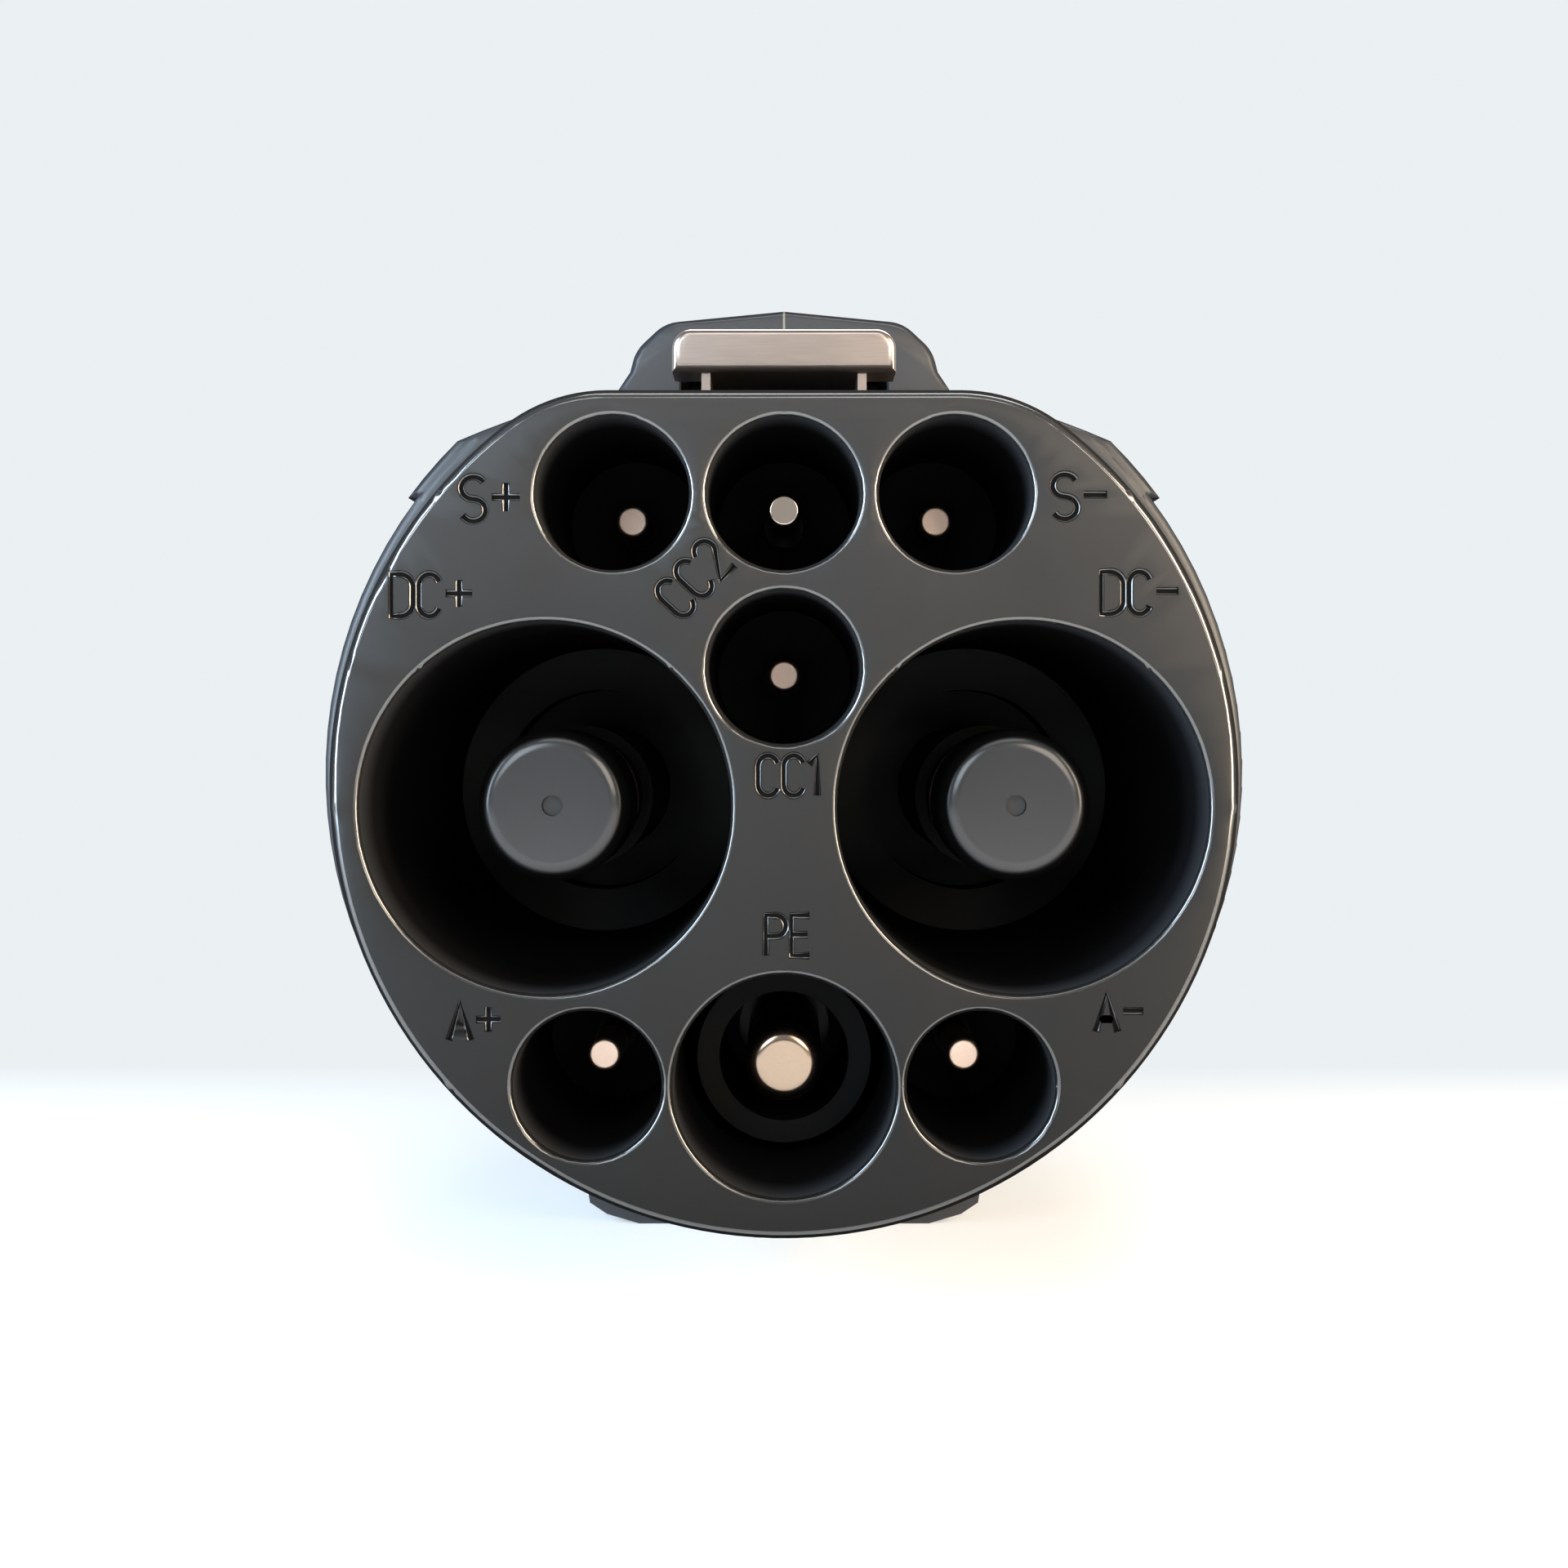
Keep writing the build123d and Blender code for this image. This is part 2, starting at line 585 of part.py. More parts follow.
def clamp_z():
    """Cable axis at the clamp, on the line between the last two body sections."""
    (y0, z0, _, _), (y1, z1, _, _) = BODY[-3], BODY[-2]
    return z0 + (z1 - z0) * (CLAMP_Y + CLAMP_LEN / 2 - y0) / (y1 - y0)


def clamp_screw_places():
    return [clamp_z() + side * (CLAMP_R + CLAMP_SCREW_OUT) for side in (-1, 1)]


def housing_shell():
    outer = housing_outer()
    shell = (outer - housing_cavity()) + (housing_inner_posts() & outer)
    for y, z in HOUSING_SCREWS:
        shell -= cross_rod(y, z, SCREW_HEAD_R + GAP, SCREW_SEAT_X, 60)
        shell -= cross_rod(y, z, SCREW_R + CLEAR, -SCREW_REACH_X - 1, SCREW_SEAT_X)
    shell -= cross_rod(PIVOT_Y, PIVOT_Z, PIVOT_R, -pin_half(), pin_half())
    for x in (-TRAY_SCREW_X, TRAY_SCREW_X):
        for y in LEDGE_Y:
            shell -= post(x, y + LEDGE_LEN / 2, PLATE_SCREW_R, TRAY_TOP_Z - TRAY_T - 6, TRAY_TOP_Z - TRAY_T)
    y = CLAMP_Y + CLAMP_LEN / 2
    for z in clamp_screw_places():
        shell -= cross_rod(y, z, PLATE_SCREW_R, -8, 0)
    return shell


def pin_half():
    return LEVER_HALF + GAP + 5


def housing_screws():
    return Compound([
        cross_rod(y, z, SCREW_R, -SCREW_REACH_X, SCREW_SEAT_X)
        + cross_rod(y, z, SCREW_HEAD_R, SCREW_SEAT_X, SCREW_SEAT_X + SCREW_HEAD_T)
        for y, z in HOUSING_SCREWS
    ])


# ---------------------------------------------------------------- latch and release button
def latch_lever():
    leg_z = HEAD_FLAT_Z + LEG_GAP
    arm = profile([
        (NOSE_Y + 1, leg_z), (LEG_END_Y, leg_z), (LEG_END_Y + 2, ARM_BOTTOM_Z), (ARM_END_Y, ARM_BOTTOM_Z),
        (PIVOT_Y, PIVOT_Z - HUB_R), (PIVOT_Y, PIVOT_Z + HUB_R), (ARM_END_Y, ARM_TOP_Z), (NOSE_Y + 1, ARM_TOP_Z),
    ], -LEVER_HALF, LEVER_HALF)
    inside = LEVER_HALF - LEVER_SHEET
    arm -= block(-inside, inside, NOSE_Y, ARM_END_Y, leg_z - 1, NOSE_BOTTOM_Z)
    nose = block(-NOSE_HALF, NOSE_HALF, NOSE_Y, NOSE_Y + NOSE_DEPTH, NOSE_BOTTOM_Z, NOSE_TOP_Z)
    nose = fillet(nose.edges().filter_by(Axis.Y).sort_by(Axis.Z)[-2:], NOSE_CORNER_R)
    nose = fillet(nose.faces().sort_by(Axis.Y)[0].edges(), NOSE_EDGE_R)
    hub = cross_rod(PIVOT_Y, PIVOT_Z, HUB_R, -LEVER_HALF, LEVER_HALF)
    tail = profile([
        (PIVOT_Y, PIVOT_Z + TAIL_DROP), (TAIL_END_Y, TAIL_END_Z + TAIL_DROP),
        (TAIL_END_Y, LUG_Z + LUG_T), (LUG_Y, LUG_Z + LUG_T), (LUG_Y, LUG_Z), (TAIL_END_Y, LUG_Z),
        (PIVOT_Y, PIVOT_Z - TAIL_DROP),
    ], -TAIL_HALF, TAIL_HALF)
    pad = block(-PAD_HALF, PAD_HALF, BUTTON_Y - BUTTON_STEM_R, BUTTON_Y + BUTTON_STEM_R, tail_z(BUTTON_Y), PAD_Z)
    seat = post(0, SPRING_Y, SPRING_SEAT_R, SPRING_TOP_Z, tail_z(SPRING_Y))
    return arm + nose + hub + tail + pad + seat - cross_rod(PIVOT_Y, PIVOT_Z, PIVOT_R + RUN, -LEVER_HALF, LEVER_HALF)


def latch_pivot_pin():
    return cross_rod(PIVOT_Y, PIVOT_Z, PIVOT_R, -pin_half(), pin_half())


def latch_spring():
    """Bent leaf: foot on the tray, half-round bend in front, arm under the lever's tail."""
    bottom, top = TRAY_TOP_Z, SPRING_TOP_Z - CLEAR
    outer = (top - bottom) / 2
    middle = (top + bottom) / 2
    bend = cross_rod(SPRING_Y, middle, outer, -SPRING_HALF, SPRING_HALF) - cross_rod(
        SPRING_Y, middle, outer - SPRING_T, -SPRING_HALF, SPRING_HALF)
    bend &= block(-SPRING_HALF, SPRING_HALF, SPRING_Y - outer, SPRING_Y, bottom, top)
    foot = block(-SPRING_HALF, SPRING_HALF, SPRING_Y, SPRING_Y + SPRING_FOOT, bottom, bottom + SPRING_T)
    arm = block(-SPRING_HALF, SPRING_HALF, SPRING_Y, SPRING_Y + SPRING_ARM, top - SPRING_T, top)
    return bend + foot + arm


def release_button():
    cap = rounded_box(BUTTON_W, BUTTON_L, BUTTON_CORNER_R, BUTTON_Y, BUTTON_FLANGE_Z, roof_z(BUTTON_Y) + 20)
    half = BUTTON_L
    cap &= profile([
        (BUTTON_Y - half, BUTTON_FLANGE_Z), (BUTTON_Y + half, BUTTON_FLANGE_Z),
        (BUTTON_Y + half, roof_z(BUTTON_Y + half) + BUTTON_PROUD),
        (BUTTON_Y - half, roof_z(BUTTON_Y - half) + BUTTON_PROUD),
    ], -BUTTON_W, BUTTON_W)
    cap = fillet(cap.faces().sort_by(Axis.Z)[-1].edges(), 1.2)
    cap += rounded_box(BUTTON_W + 2 * BUTTON_FLANGE, BUTTON_L + 2 * BUTTON_FLANGE,
                       BUTTON_CORNER_R + BUTTON_FLANGE, BUTTON_Y, BUTTON_FLANGE_Z, BUTTON_FLANGE_Z + BUTTON_FLANGE_T)
    return cap + post(0, BUTTON_Y, BUTTON_STEM_R, PAD_Z + GAP, BUTTON_FLANGE_Z)


def button_seal():
    inner_w, inner_l = BUTTON_W + 2 * GAP, BUTTON_L + 2 * GAP
    r = BUTTON_CORNER_R + GAP
    top = roof_z(BUTTON_Y) + 20
    ring = rounded_box(inner_w + 2 * SEAL_RING, inner_l + 2 * SEAL_RING, r + SEAL_RING, BUTTON_Y,
                       BUTTON_FLANGE_Z, top)
    ring -= rounded_box(inner_w, inner_l, r, BUTTON_Y, BUTTON_FLANGE_Z, top)
    half = BUTTON_L
    return ring & profile([
        (BUTTON_Y - half, roof_z(BUTTON_Y - half) - 1.8), (BUTTON_Y + half, roof_z(BUTTON_Y + half) - 1.8),
        (BUTTON_Y + half, roof_z(BUTTON_Y + half)), (BUTTON_Y - half, roof_z(BUTTON_Y - half)),
    ], -BUTTON_W, BUTTON_W)


# ---------------------------------------------------------------- lock, switch and tray
def lock_solenoid():
    coil = block(-COIL_HALF, COIL_HALF, COIL_Y, COIL_Y + COIL_LEN, TRAY_TOP_Z, TRAY_TOP_Z + COIL_HEIGHT)
    coil = fillet(coil.edges().filter_by(Axis.Y), 1.0)
    return coil - rod(0, PLUNGER_Z, PLUNGER_R + RUN, COIL_Y, PLUNGER_TIP_Y + PLUNGER_LEN + 1)


def lock_plunger():
    return rod(0, PLUNGER_Z, PLUNGER_R, PLUNGER_TIP_Y, PLUNGER_TIP_Y + PLUNGER_LEN)


def mechanism_tray():
    tray = block(-TRAY_HALF, TRAY_HALF, TRAY_Y, TRAY_END_Y, TRAY_TOP_Z - TRAY_T, TRAY_TOP_Z)
    for x0 in (COIL_HALF + CLEAR, -COIL_HALF - CLEAR - CHEEK_T):
        tray += block(x0, x0 + CHEEK_T, COIL_Y, COIL_Y + COIL_LEN, TRAY_TOP_Z, TRAY_TOP_Z + CHEEK_H)
    tray += block(-PEDESTAL_HALF, PEDESTAL_HALF, TRAY_Y, TRAY_Y + BOARD_LEN, TRAY_TOP_Z, BOARD_Z)
    for x in (-TRAY_SCREW_X, TRAY_SCREW_X):
        for y in LEDGE_Y:
            tray -= post(x, y + LEDGE_LEN / 2, PLATE_SCREW_R + CLEAR, TRAY_TOP_Z - TRAY_T, TRAY_TOP_Z)
    return tray


def tray_screws():
    return Compound([
        post(x, y + LEDGE_LEN / 2, PLATE_SCREW_R, TRAY_TOP_Z - TRAY_T - 5, TRAY_TOP_Z)
        + post(x, y + LEDGE_LEN / 2, PLATE_HEAD_R, TRAY_TOP_Z, TRAY_TOP_Z + PLATE_HEAD_T)
        for x in (-TRAY_SCREW_X, TRAY_SCREW_X) for y in LEDGE_Y
    ])


def circuit_board():
    return block(-BOARD_HALF, BOARD_HALF, TRAY_Y, TRAY_Y + BOARD_LEN, BOARD_Z, BOARD_Z + BOARD_T)


def switch_top_z():
    return BOARD_Z + BOARD_T + SWITCH_H


def microswitch():
    body = block(-SWITCH_W / 2, SWITCH_W / 2, SWITCH_Y - SWITCH_L / 2, SWITCH_Y + SWITCH_L / 2,
                 BOARD_Z + BOARD_T, switch_top_z())
    body = fillet(body.edges().filter_by(Axis.Y), 0.6)
    bore_z = switch_top_z() - SWITCH_PIN_IN - SWITCH_TRAVEL - GAP
    return body - post(0, SWITCH_Y, SWITCH_PIN_R + RUN, bore_z, switch_top_z())


def switch_plunger():
    top = tail_z(SWITCH_Y + SWITCH_PIN_R) - TAIL_DROP - GAP
    return post(0, SWITCH_Y, SWITCH_PIN_R, switch_top_z() - SWITCH_PIN_IN, top)


# ---------------------------------------------------------------- cable entry
def gland_body():
    flange_y = WALL_Y - GLAND_FLANGE_T
    end = REAR_Y + WASHER_T + NUT_LEN - NUT_LIP - GLAND_SEAL_T
    return (rod(0, REAR_Z, GLAND_R, flange_y, end) + rod(0, REAR_Z, GLAND_FLANGE_R, flange_y, WALL_Y)
            - rod(0, REAR_Z, CABLE_R, flange_y, end))


def gland_washer():
    return rod(0, REAR_Z, NUT_FLATS / 2 - 1.5, REAR_Y, REAR_Y + WASHER_T) - rod(
        0, REAR_Z, GLAND_R + CLEAR, REAR_Y, REAR_Y + WASHER_T)


def gland_nut():
    y0 = REAR_Y + WASHER_T
    y1 = y0 + NUT_LEN
    corner_r = NUT_FLATS / 2 / sin(radians(60))
    nut = prism(Pos(0, REAR_Z) * RegularPolygon(corner_r, 6, rotation=0), y0, y1)
    nut &= turned([(0, y0), (corner_r - 1, y0), (corner_r, y0 + 1), (corner_r, y1 - 4), (corner_r - 5, y1), (0, y1)],
                  0, REAR_Z)
    return nut - rod(0, REAR_Z, GLAND_R + CLEAR, y0, y1 - NUT_LIP) - rod(0, REAR_Z, CABLE_R, y0, y1)


def gland_seal():
    y1 = REAR_Y + WASHER_T + NUT_LEN - NUT_LIP
    return rod(0, REAR_Z, GLAND_R - CLEAR, y1 - GLAND_SEAL_T, y1) - rod(
        0, REAR_Z, CABLE_R, y1 - GLAND_SEAL_T, y1)


def cable_clamp():
    z = clamp_z()
    y1 = CLAMP_Y + CLAMP_LEN
    ear = CLAMP_R + CLAMP_EAR
    strap = rod(0, z, CLAMP_R + CLAMP_T, CLAMP_Y, y1)
    strap += block(0, CLAMP_EAR_T, CLAMP_Y, y1, z - ear, z + ear)
    strap &= block(0, 60, CLAMP_Y, y1, z - ear, z + ear)
    strap -= rod(0, z, CLAMP_R, CLAMP_Y, y1)
    for place in clamp_screw_places():
        strap -= cross_rod(CLAMP_Y + CLAMP_LEN / 2, place, PLATE_SCREW_R + CLEAR, 0, CLAMP_EAR_T)
    return strap


def clamp_screws():
    y = CLAMP_Y + CLAMP_LEN / 2
    return Compound([
        cross_rod(y, z, PLATE_SCREW_R, -7, CLAMP_EAR_T)
        + cross_rod(y, z, CLAMP_HEAD_R, CLAMP_EAR_T, CLAMP_EAR_T + CLAMP_HEAD_T)
        for z in clamp_screw_places()
    ])


# ---------------------------------------------------------------- assembly
def halves(shell):
    cut = 60
    left = shell & block(-cut, 0, 0, REAR_Y + 1, -cut, cut)
    right = shell & block(0, cut, 0, REAR_Y + 1, -cut, cut)
    return left, right


def build():
    nodes = {
        **carrier_bands(),
        "seal_backing_ring": seal_backing_ring(),
        "contact_holder": contact_holder(),
        "pe_sleeve": pe_sleeve(),
        "carrier_back_plate": carrier_back_plate(),
        "back_plate_screws": back_plate_screws(),
        "carrier_seal": carrier_seal(),
        "pe_contact": pe_contact(),
        "dc_temperature_sensors": dc_temperature_sensors(),
        "housing_screws": housing_screws(),
        "latch_lever": latch_lever(),
        "latch_pivot_pin": latch_pivot_pin(),
        "latch_spring": latch_spring(),
        "release_button": release_button(),
        "button_seal": button_seal(),
        "lock_solenoid": lock_solenoid(),
        "lock_plunger": lock_plunger(),
        "mechanism_tray": mechanism_tray(),
        "tray_screws": tray_screws(),
        "circuit_board": circuit_board(),
        "microswitch": microswitch(),
        "switch_plunger": switch_plunger(),
        "gland_body": gland_body(),
        "gland_washer": gland_washer(),
        "gland_nut": gland_nut(),
        "gland_seal": gland_seal(),
        "cable_clamp": cable_clamp(),
        "clamp_screws": clamp_screws(),
    }
    for name, x in DC.items():
        nodes[f"{name}_contact"] = dc_contact(x)
        nodes[f"{name}_cap"] = dc_cap(x)
    for name, (x, z, _, tip) in SMALL.items():
        nodes[f"{name}_contact"] = small_contact(x, z, tip)
    nodes["housing_left"], nodes["housing_right"] = halves(housing_shell())
    return nodes


os.makedirs("parts", exist_ok=True)
for node, shape in build().items():
    export_step(shape, f"parts/{node}.step")
    print(node, round(shape.volume, 1))
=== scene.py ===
# %% [markdown]
# # A charging plug for electric cars
# The CAD pieces come in as a fixed frame, already in place and at real size, in metres. This
# script gives each of them its finish. The head and the thin contacts are seen close up, so they
# are made again from the same sizes. All other pieces keep their CAD form, and three of them get
# a small bevel, because a moulded or pressed edge is never quite sharp.

# %% Load the frame
import json
from math import cos, hypot, pi, radians, sin

import bmesh
import bpy
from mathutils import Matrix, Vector


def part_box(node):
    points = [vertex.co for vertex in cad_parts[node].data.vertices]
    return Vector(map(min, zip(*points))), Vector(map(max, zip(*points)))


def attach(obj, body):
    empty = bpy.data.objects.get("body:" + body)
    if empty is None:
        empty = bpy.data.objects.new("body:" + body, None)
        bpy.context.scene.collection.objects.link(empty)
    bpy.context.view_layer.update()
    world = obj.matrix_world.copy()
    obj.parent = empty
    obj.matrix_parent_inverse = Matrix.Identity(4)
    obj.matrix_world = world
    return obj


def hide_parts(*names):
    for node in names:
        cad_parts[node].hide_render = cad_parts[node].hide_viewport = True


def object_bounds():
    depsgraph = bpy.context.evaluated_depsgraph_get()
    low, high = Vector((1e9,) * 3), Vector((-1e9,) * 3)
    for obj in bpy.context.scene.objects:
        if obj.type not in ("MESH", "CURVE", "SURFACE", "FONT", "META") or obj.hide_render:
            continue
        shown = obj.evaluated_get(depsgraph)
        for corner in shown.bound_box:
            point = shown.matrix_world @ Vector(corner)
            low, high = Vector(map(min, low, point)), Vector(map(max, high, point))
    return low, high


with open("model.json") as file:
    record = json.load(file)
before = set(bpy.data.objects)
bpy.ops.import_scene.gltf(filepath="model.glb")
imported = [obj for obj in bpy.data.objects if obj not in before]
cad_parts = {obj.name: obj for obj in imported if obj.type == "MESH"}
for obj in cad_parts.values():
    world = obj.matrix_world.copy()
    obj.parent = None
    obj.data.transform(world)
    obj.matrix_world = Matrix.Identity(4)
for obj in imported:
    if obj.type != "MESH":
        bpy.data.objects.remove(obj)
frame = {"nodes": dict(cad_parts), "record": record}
cad_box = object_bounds()
nodes = frame["nodes"]
MM = 0.001

# %% [markdown]
# ## Camera
# A plug is best shown head on, close enough that the sockets show their depth. The camera
# looks straight along the plug, a little above its axis, and the frame is shifted down
# instead of tilting the camera, so circles on the face stay circles.

# %% Camera
CAMERA_DISTANCE = 138 * MM
CAMERA_HEIGHT = 4.27 * MM
FRAME_WIDTH = 130.3 * MM                     # what the view spans at the mating face
SENSOR = 36.0

camera_data = bpy.data.cameras.new("camera")
camera_data.sensor_width = SENSOR
camera_data.lens = SENSOR * CAMERA_DISTANCE / FRAME_WIDTH
camera_data.shift_y = -CAMERA_HEIGHT / FRAME_WIDTH
camera_data.clip_start, camera_data.clip_end = 0.005, 20      # metres
camera = bpy.data.objects.new("camera", camera_data)
camera.location = (0, -CAMERA_DISTANCE, CAMERA_HEIGHT)
camera.rotation_euler = (pi / 2, 0, 0)
bpy.context.scene.collection.objects.link(camera)
bpy.context.scene.camera = camera
print("lens", round(camera_data.lens, 2), "shift", round(camera_data.shift_y, 4))

# %% [markdown]
# ## Stage
# A floor and a wall as two planes would show a line where they meet. One sheet that bends up in
# a quarter circle has none. Near the plug the sheet is lit, so that it takes a soft shadow.
# Further back it turns by itself into one pale colour, because a wall that has to be lit white
# would throw its light back on the plug.

# %% Helpers for nodes and objects
def link(obj):
    bpy.context.scene.collection.objects.link(obj)
    return obj


def new_material(name):
    material = bpy.data.materials.new(name)
    material.use_nodes = True
    tree = material.node_tree
    tree.nodes.clear()
    output = tree.nodes.new("ShaderNodeOutputMaterial")
    shader = tree.nodes.new("ShaderNodeBsdfPrincipled")
    tree.links.new(shader.outputs["BSDF"], output.inputs["Surface"])
    return material, tree, shader


def mesh_object(name, verts, faces):
    mesh = bpy.data.meshes.new(name)
    mesh.from_pydata(verts, [], faces)
    mesh.update()
    return link(bpy.data.objects.new(name, mesh))


def math_node(tree, operation, *values):
    node = tree.nodes.new("ShaderNodeMath")
    node.operation = operation
    for i, value in enumerate(values):
        if isinstance(value, (int, float)):
            node.inputs[i].default_value = value
        else:
            tree.links.new(value, node.inputs[i])
    return node.outputs[0]


def ramp_between(tree, value, start, end, low=0.0, high=1.0):
    node = tree.nodes.new("ShaderNodeMapRange")
    node.inputs["From Min"].default_value = start
    node.inputs["From Max"].default_value = end
    node.inputs["To Min"].default_value = low
    node.inputs["To Max"].default_value = high
    tree.links.new(value, node.inputs["Value"])
    return node.outputs["Result"]


def object_axis(tree, axis):
    """Distance along one of the object's own axes, in metres."""
    split = tree.nodes.new("ShaderNodeSeparateXYZ")
    tree.links.new(tree.nodes.new("ShaderNodeTexCoord").outputs["Object"], split.inputs[0])
    return split.outputs[axis]


def seen_directly(tree):
    """1 for rays from the camera and for reflections and refractions of it, 0 for soft light."""
    path = tree.nodes.new("ShaderNodeLightPath")
    mirrored = math_node(tree, "MAXIMUM", path.outputs["Is Glossy Ray"], path.outputs["Is Transmission Ray"])
    return math_node(tree, "MAXIMUM", path.outputs["Is Camera Ray"], mirrored)


# %% Floor and backdrop in one sheet
PAPER = (0.93, 0.945, 0.955, 1)
PALE_WALL = (0.83, 0.871, 0.896, 1)
FLOOR_Z = cad_box[0][2]
STAGE_HALF = 3.0
BEND_R = 0.8
BEND_Y = 1.6
BEND_STEPS = 24
FADE_START, FADE_END = 0.0, 0.12

line = [(-STAGE_HALF, FLOOR_Z)]
for i in range(BEND_STEPS + 1):
    a = pi / 2 * i / BEND_STEPS
    line.append((BEND_Y + BEND_R * sin(a), FLOOR_Z + BEND_R * (1 - cos(a))))
line.append((BEND_Y + BEND_R, FLOOR_Z + STAGE_HALF))
verts = [(x, y, z) for x in (-STAGE_HALF, STAGE_HALF) for y, z in line]
faces = [(i, i + len(line), i + len(line) + 1, i + 1) for i in range(len(line) - 1)]
backdrop = mesh_object("backdrop", verts, faces)
backdrop.data.polygons.foreach_set("use_smooth", [True] * len(backdrop.data.polygons))

material, tree, shader = new_material("stage_paper")
shader.inputs["Base Color"].default_value = PAPER
shader.inputs["Roughness"].default_value = 0.9
glow = tree.nodes.new("ShaderNodeEmission")
glow.inputs["Color"].default_value = PALE_WALL
blend = tree.nodes.new("ShaderNodeMixShader")
fade = ramp_between(tree, object_axis(tree, "Y"), FADE_START, FADE_END)
tree.links.new(math_node(tree, "MULTIPLY", fade, seen_directly(tree)), blend.inputs["Fac"])
tree.links.new(shader.outputs["BSDF"], blend.inputs[1])
tree.links.new(glow.outputs["Emission"], blend.inputs[2])
tree.links.new(blend.outputs["Shader"], tree.nodes["Material Output"].inputs["Surface"])
backdrop.data.materials.append(material)
print("floor at", round(FLOOR_Z / MM, 2), "mm")

# %% [markdown]
# ## Light
# Black plastic shows mostly what it mirrors. A large dim card behind the camera is what the
# flat face mirrors, and gives it its grey. Two small soft boxes in front at the sides, a cool
# one on the left and a warm one on the right, make the soft ring on each cap. Two tall ones far
# out at the sides graze the face: they draw the thin lines of light on every rim. A small lamp
# above and in front makes the face lighter at the top than at the bottom, and one above the
# handle lights it from the back. Area lamps are used because a point lamp mirrors as a dot.

# %% Lamps
COOL, PALE_COOL = (0.66, 0.83, 1.0), (0.78, 0.9, 1.0)
WARM, PALE_WARM = (1.0, 0.81, 0.6), (1.0, 0.88, 0.74)
WHITE = (1.0, 0.99, 0.97)
LAMPS = (                                    # name, place, aimed at, width, height, watts, colour
    ("cool_front", (-0.27, -0.52, 0.22), (0, 0.02, 0), 0.26, 0.3, 2.0, PALE_COOL),
    ("warm_front", (0.27, -0.52, 0.2), (0, 0.02, 0), 0.26, 0.3, 2.0, PALE_WARM),
    ("cool_side", (-0.5, -0.15, 0.15), (0, 0.02, 0), 0.24, 0.5, 8.5, COOL),
    ("warm_side", (0.5, -0.15, 0.13), (0, 0.02, 0), 0.24, 0.5, 8.5, WARM),
    ("front_card", (0, -0.75, 0.3), (0, 0, 0.02), 0.8, 0.5, 0.35, WHITE),
    ("over_front", (0, -0.16, 0.26), (0, 0, 0.03), 0.22, 0.08, 0.22, WHITE),
    ("over_back", (0.1, 0.6, 0.7), (0, 0.14, 0), 0.6, 0.5, 6.0, WHITE),
)


def soft_box(name, place, target, width, height, power, colour):
    data = bpy.data.lights.new(name, "AREA")
    data.shape = "RECTANGLE"
    data.size, data.size_y = width, height
    data.energy = power
    data.color = colour
    lamp = link(bpy.data.objects.new(name, data))
    lamp.location = place
    lamp.rotation_euler = (Vector(target) - Vector(place)).to_track_quat("-Z", "Y").to_euler()


for lamp in LAMPS:
    soft_box(*lamp)
print("lamps:", len(LAMPS))

# %% World
ROOM_LIGHT = 0.25
world = bpy.data.worlds.new("studio")
bpy.context.scene.world = world
world.use_nodes = True
world.node_tree.nodes["Background"].inputs["Color"].default_value = PALE_WALL
world.node_tree.nodes["Background"].inputs["Strength"].default_value = ROOM_LIGHT
bpy.context.scene.view_settings.view_transform = "Standard"

# %% [markdown]
# ## Shared effects
# Moulded plastic carries a fine spark-eroded grain from its mould, and brushed metal carries
# long scratches in one direction. Images would need unwrapped pieces and would show seams, so
# both are noise in the object's own coordinates. Each effect is a node group with its own numbers,
# built once, so that every material can use it at its own scale.

# %% Group helper
def new_group(name, ins, outs):
    group = bpy.data.node_groups.new(name, "ShaderNodeTree")
    for title, value in ins:
        socket = group.interface.new_socket(title, in_out="INPUT", socket_type="NodeSocketFloat")
        socket.default_value = value
    for title in outs:
        group.interface.new_socket(title, in_out="OUTPUT", socket_type="NodeSocketFloat")
    return group, group.nodes.new("NodeGroupInput"), group.nodes.new("NodeGroupOutput")


def noise_node(tree, vector, scale, detail):
    node = tree.nodes.new("ShaderNodeTexNoise")
    node.inputs["Detail"].default_value = detail
    tree.links.new(vector, node.inputs["Vector"])
    if isinstance(scale, (int, float)):
        node.inputs["Scale"].default_value = scale
    else:
        tree.links.new(scale, node.inputs["Scale"])
    return node.outputs["Fac"]


# %% Mould grain
grain, grain_in, grain_out = new_group(
    "mould_grain", [("Grain per m", 4500.0), ("Cloud per m", 60.0)], ["Height", "Tone"])
place = grain.nodes.new("ShaderNodeTexCoord").outputs["Object"]
fine = noise_node(grain, place, grain_in.outputs["Grain per m"], 2.0)
cloud = noise_node(grain, place, grain_in.outputs["Cloud per m"], 3.0)
grain.links.new(fine, grain_out.inputs["Height"])
grain.links.new(math_node(grain, "ADD", math_node(grain, "MULTIPLY", fine, 0.35),
                          math_node(grain, "MULTIPLY", cloud, 0.65)), grain_out.inputs["Tone"])

# %% Brushed lines, drawn out along X
METAL_CLOUD_PER_M = 120.0
brush, brush_in, brush_out = new_group(
    "brushed_lines", [("Lines per m", 9000.0), ("Stretch", 0.03)], ["Height", "Tone"])
place = brush.nodes.new("ShaderNodeTexCoord").outputs["Object"]
stretch = brush.nodes.new("ShaderNodeCombineXYZ")
brush.links.new(brush_in.outputs["Stretch"], stretch.inputs["X"])
stretch.inputs["Y"].default_value = 1.0
stretch.inputs["Z"].default_value = 1.0
scaled = brush.nodes.new("ShaderNodeVectorMath")
scaled.operation = "MULTIPLY"
brush.links.new(place, scaled.inputs[0])
brush.links.new(stretch.outputs[0], scaled.inputs[1])
lines = noise_node(brush, scaled.outputs[0], brush_in.outputs["Lines per m"], 3.0)
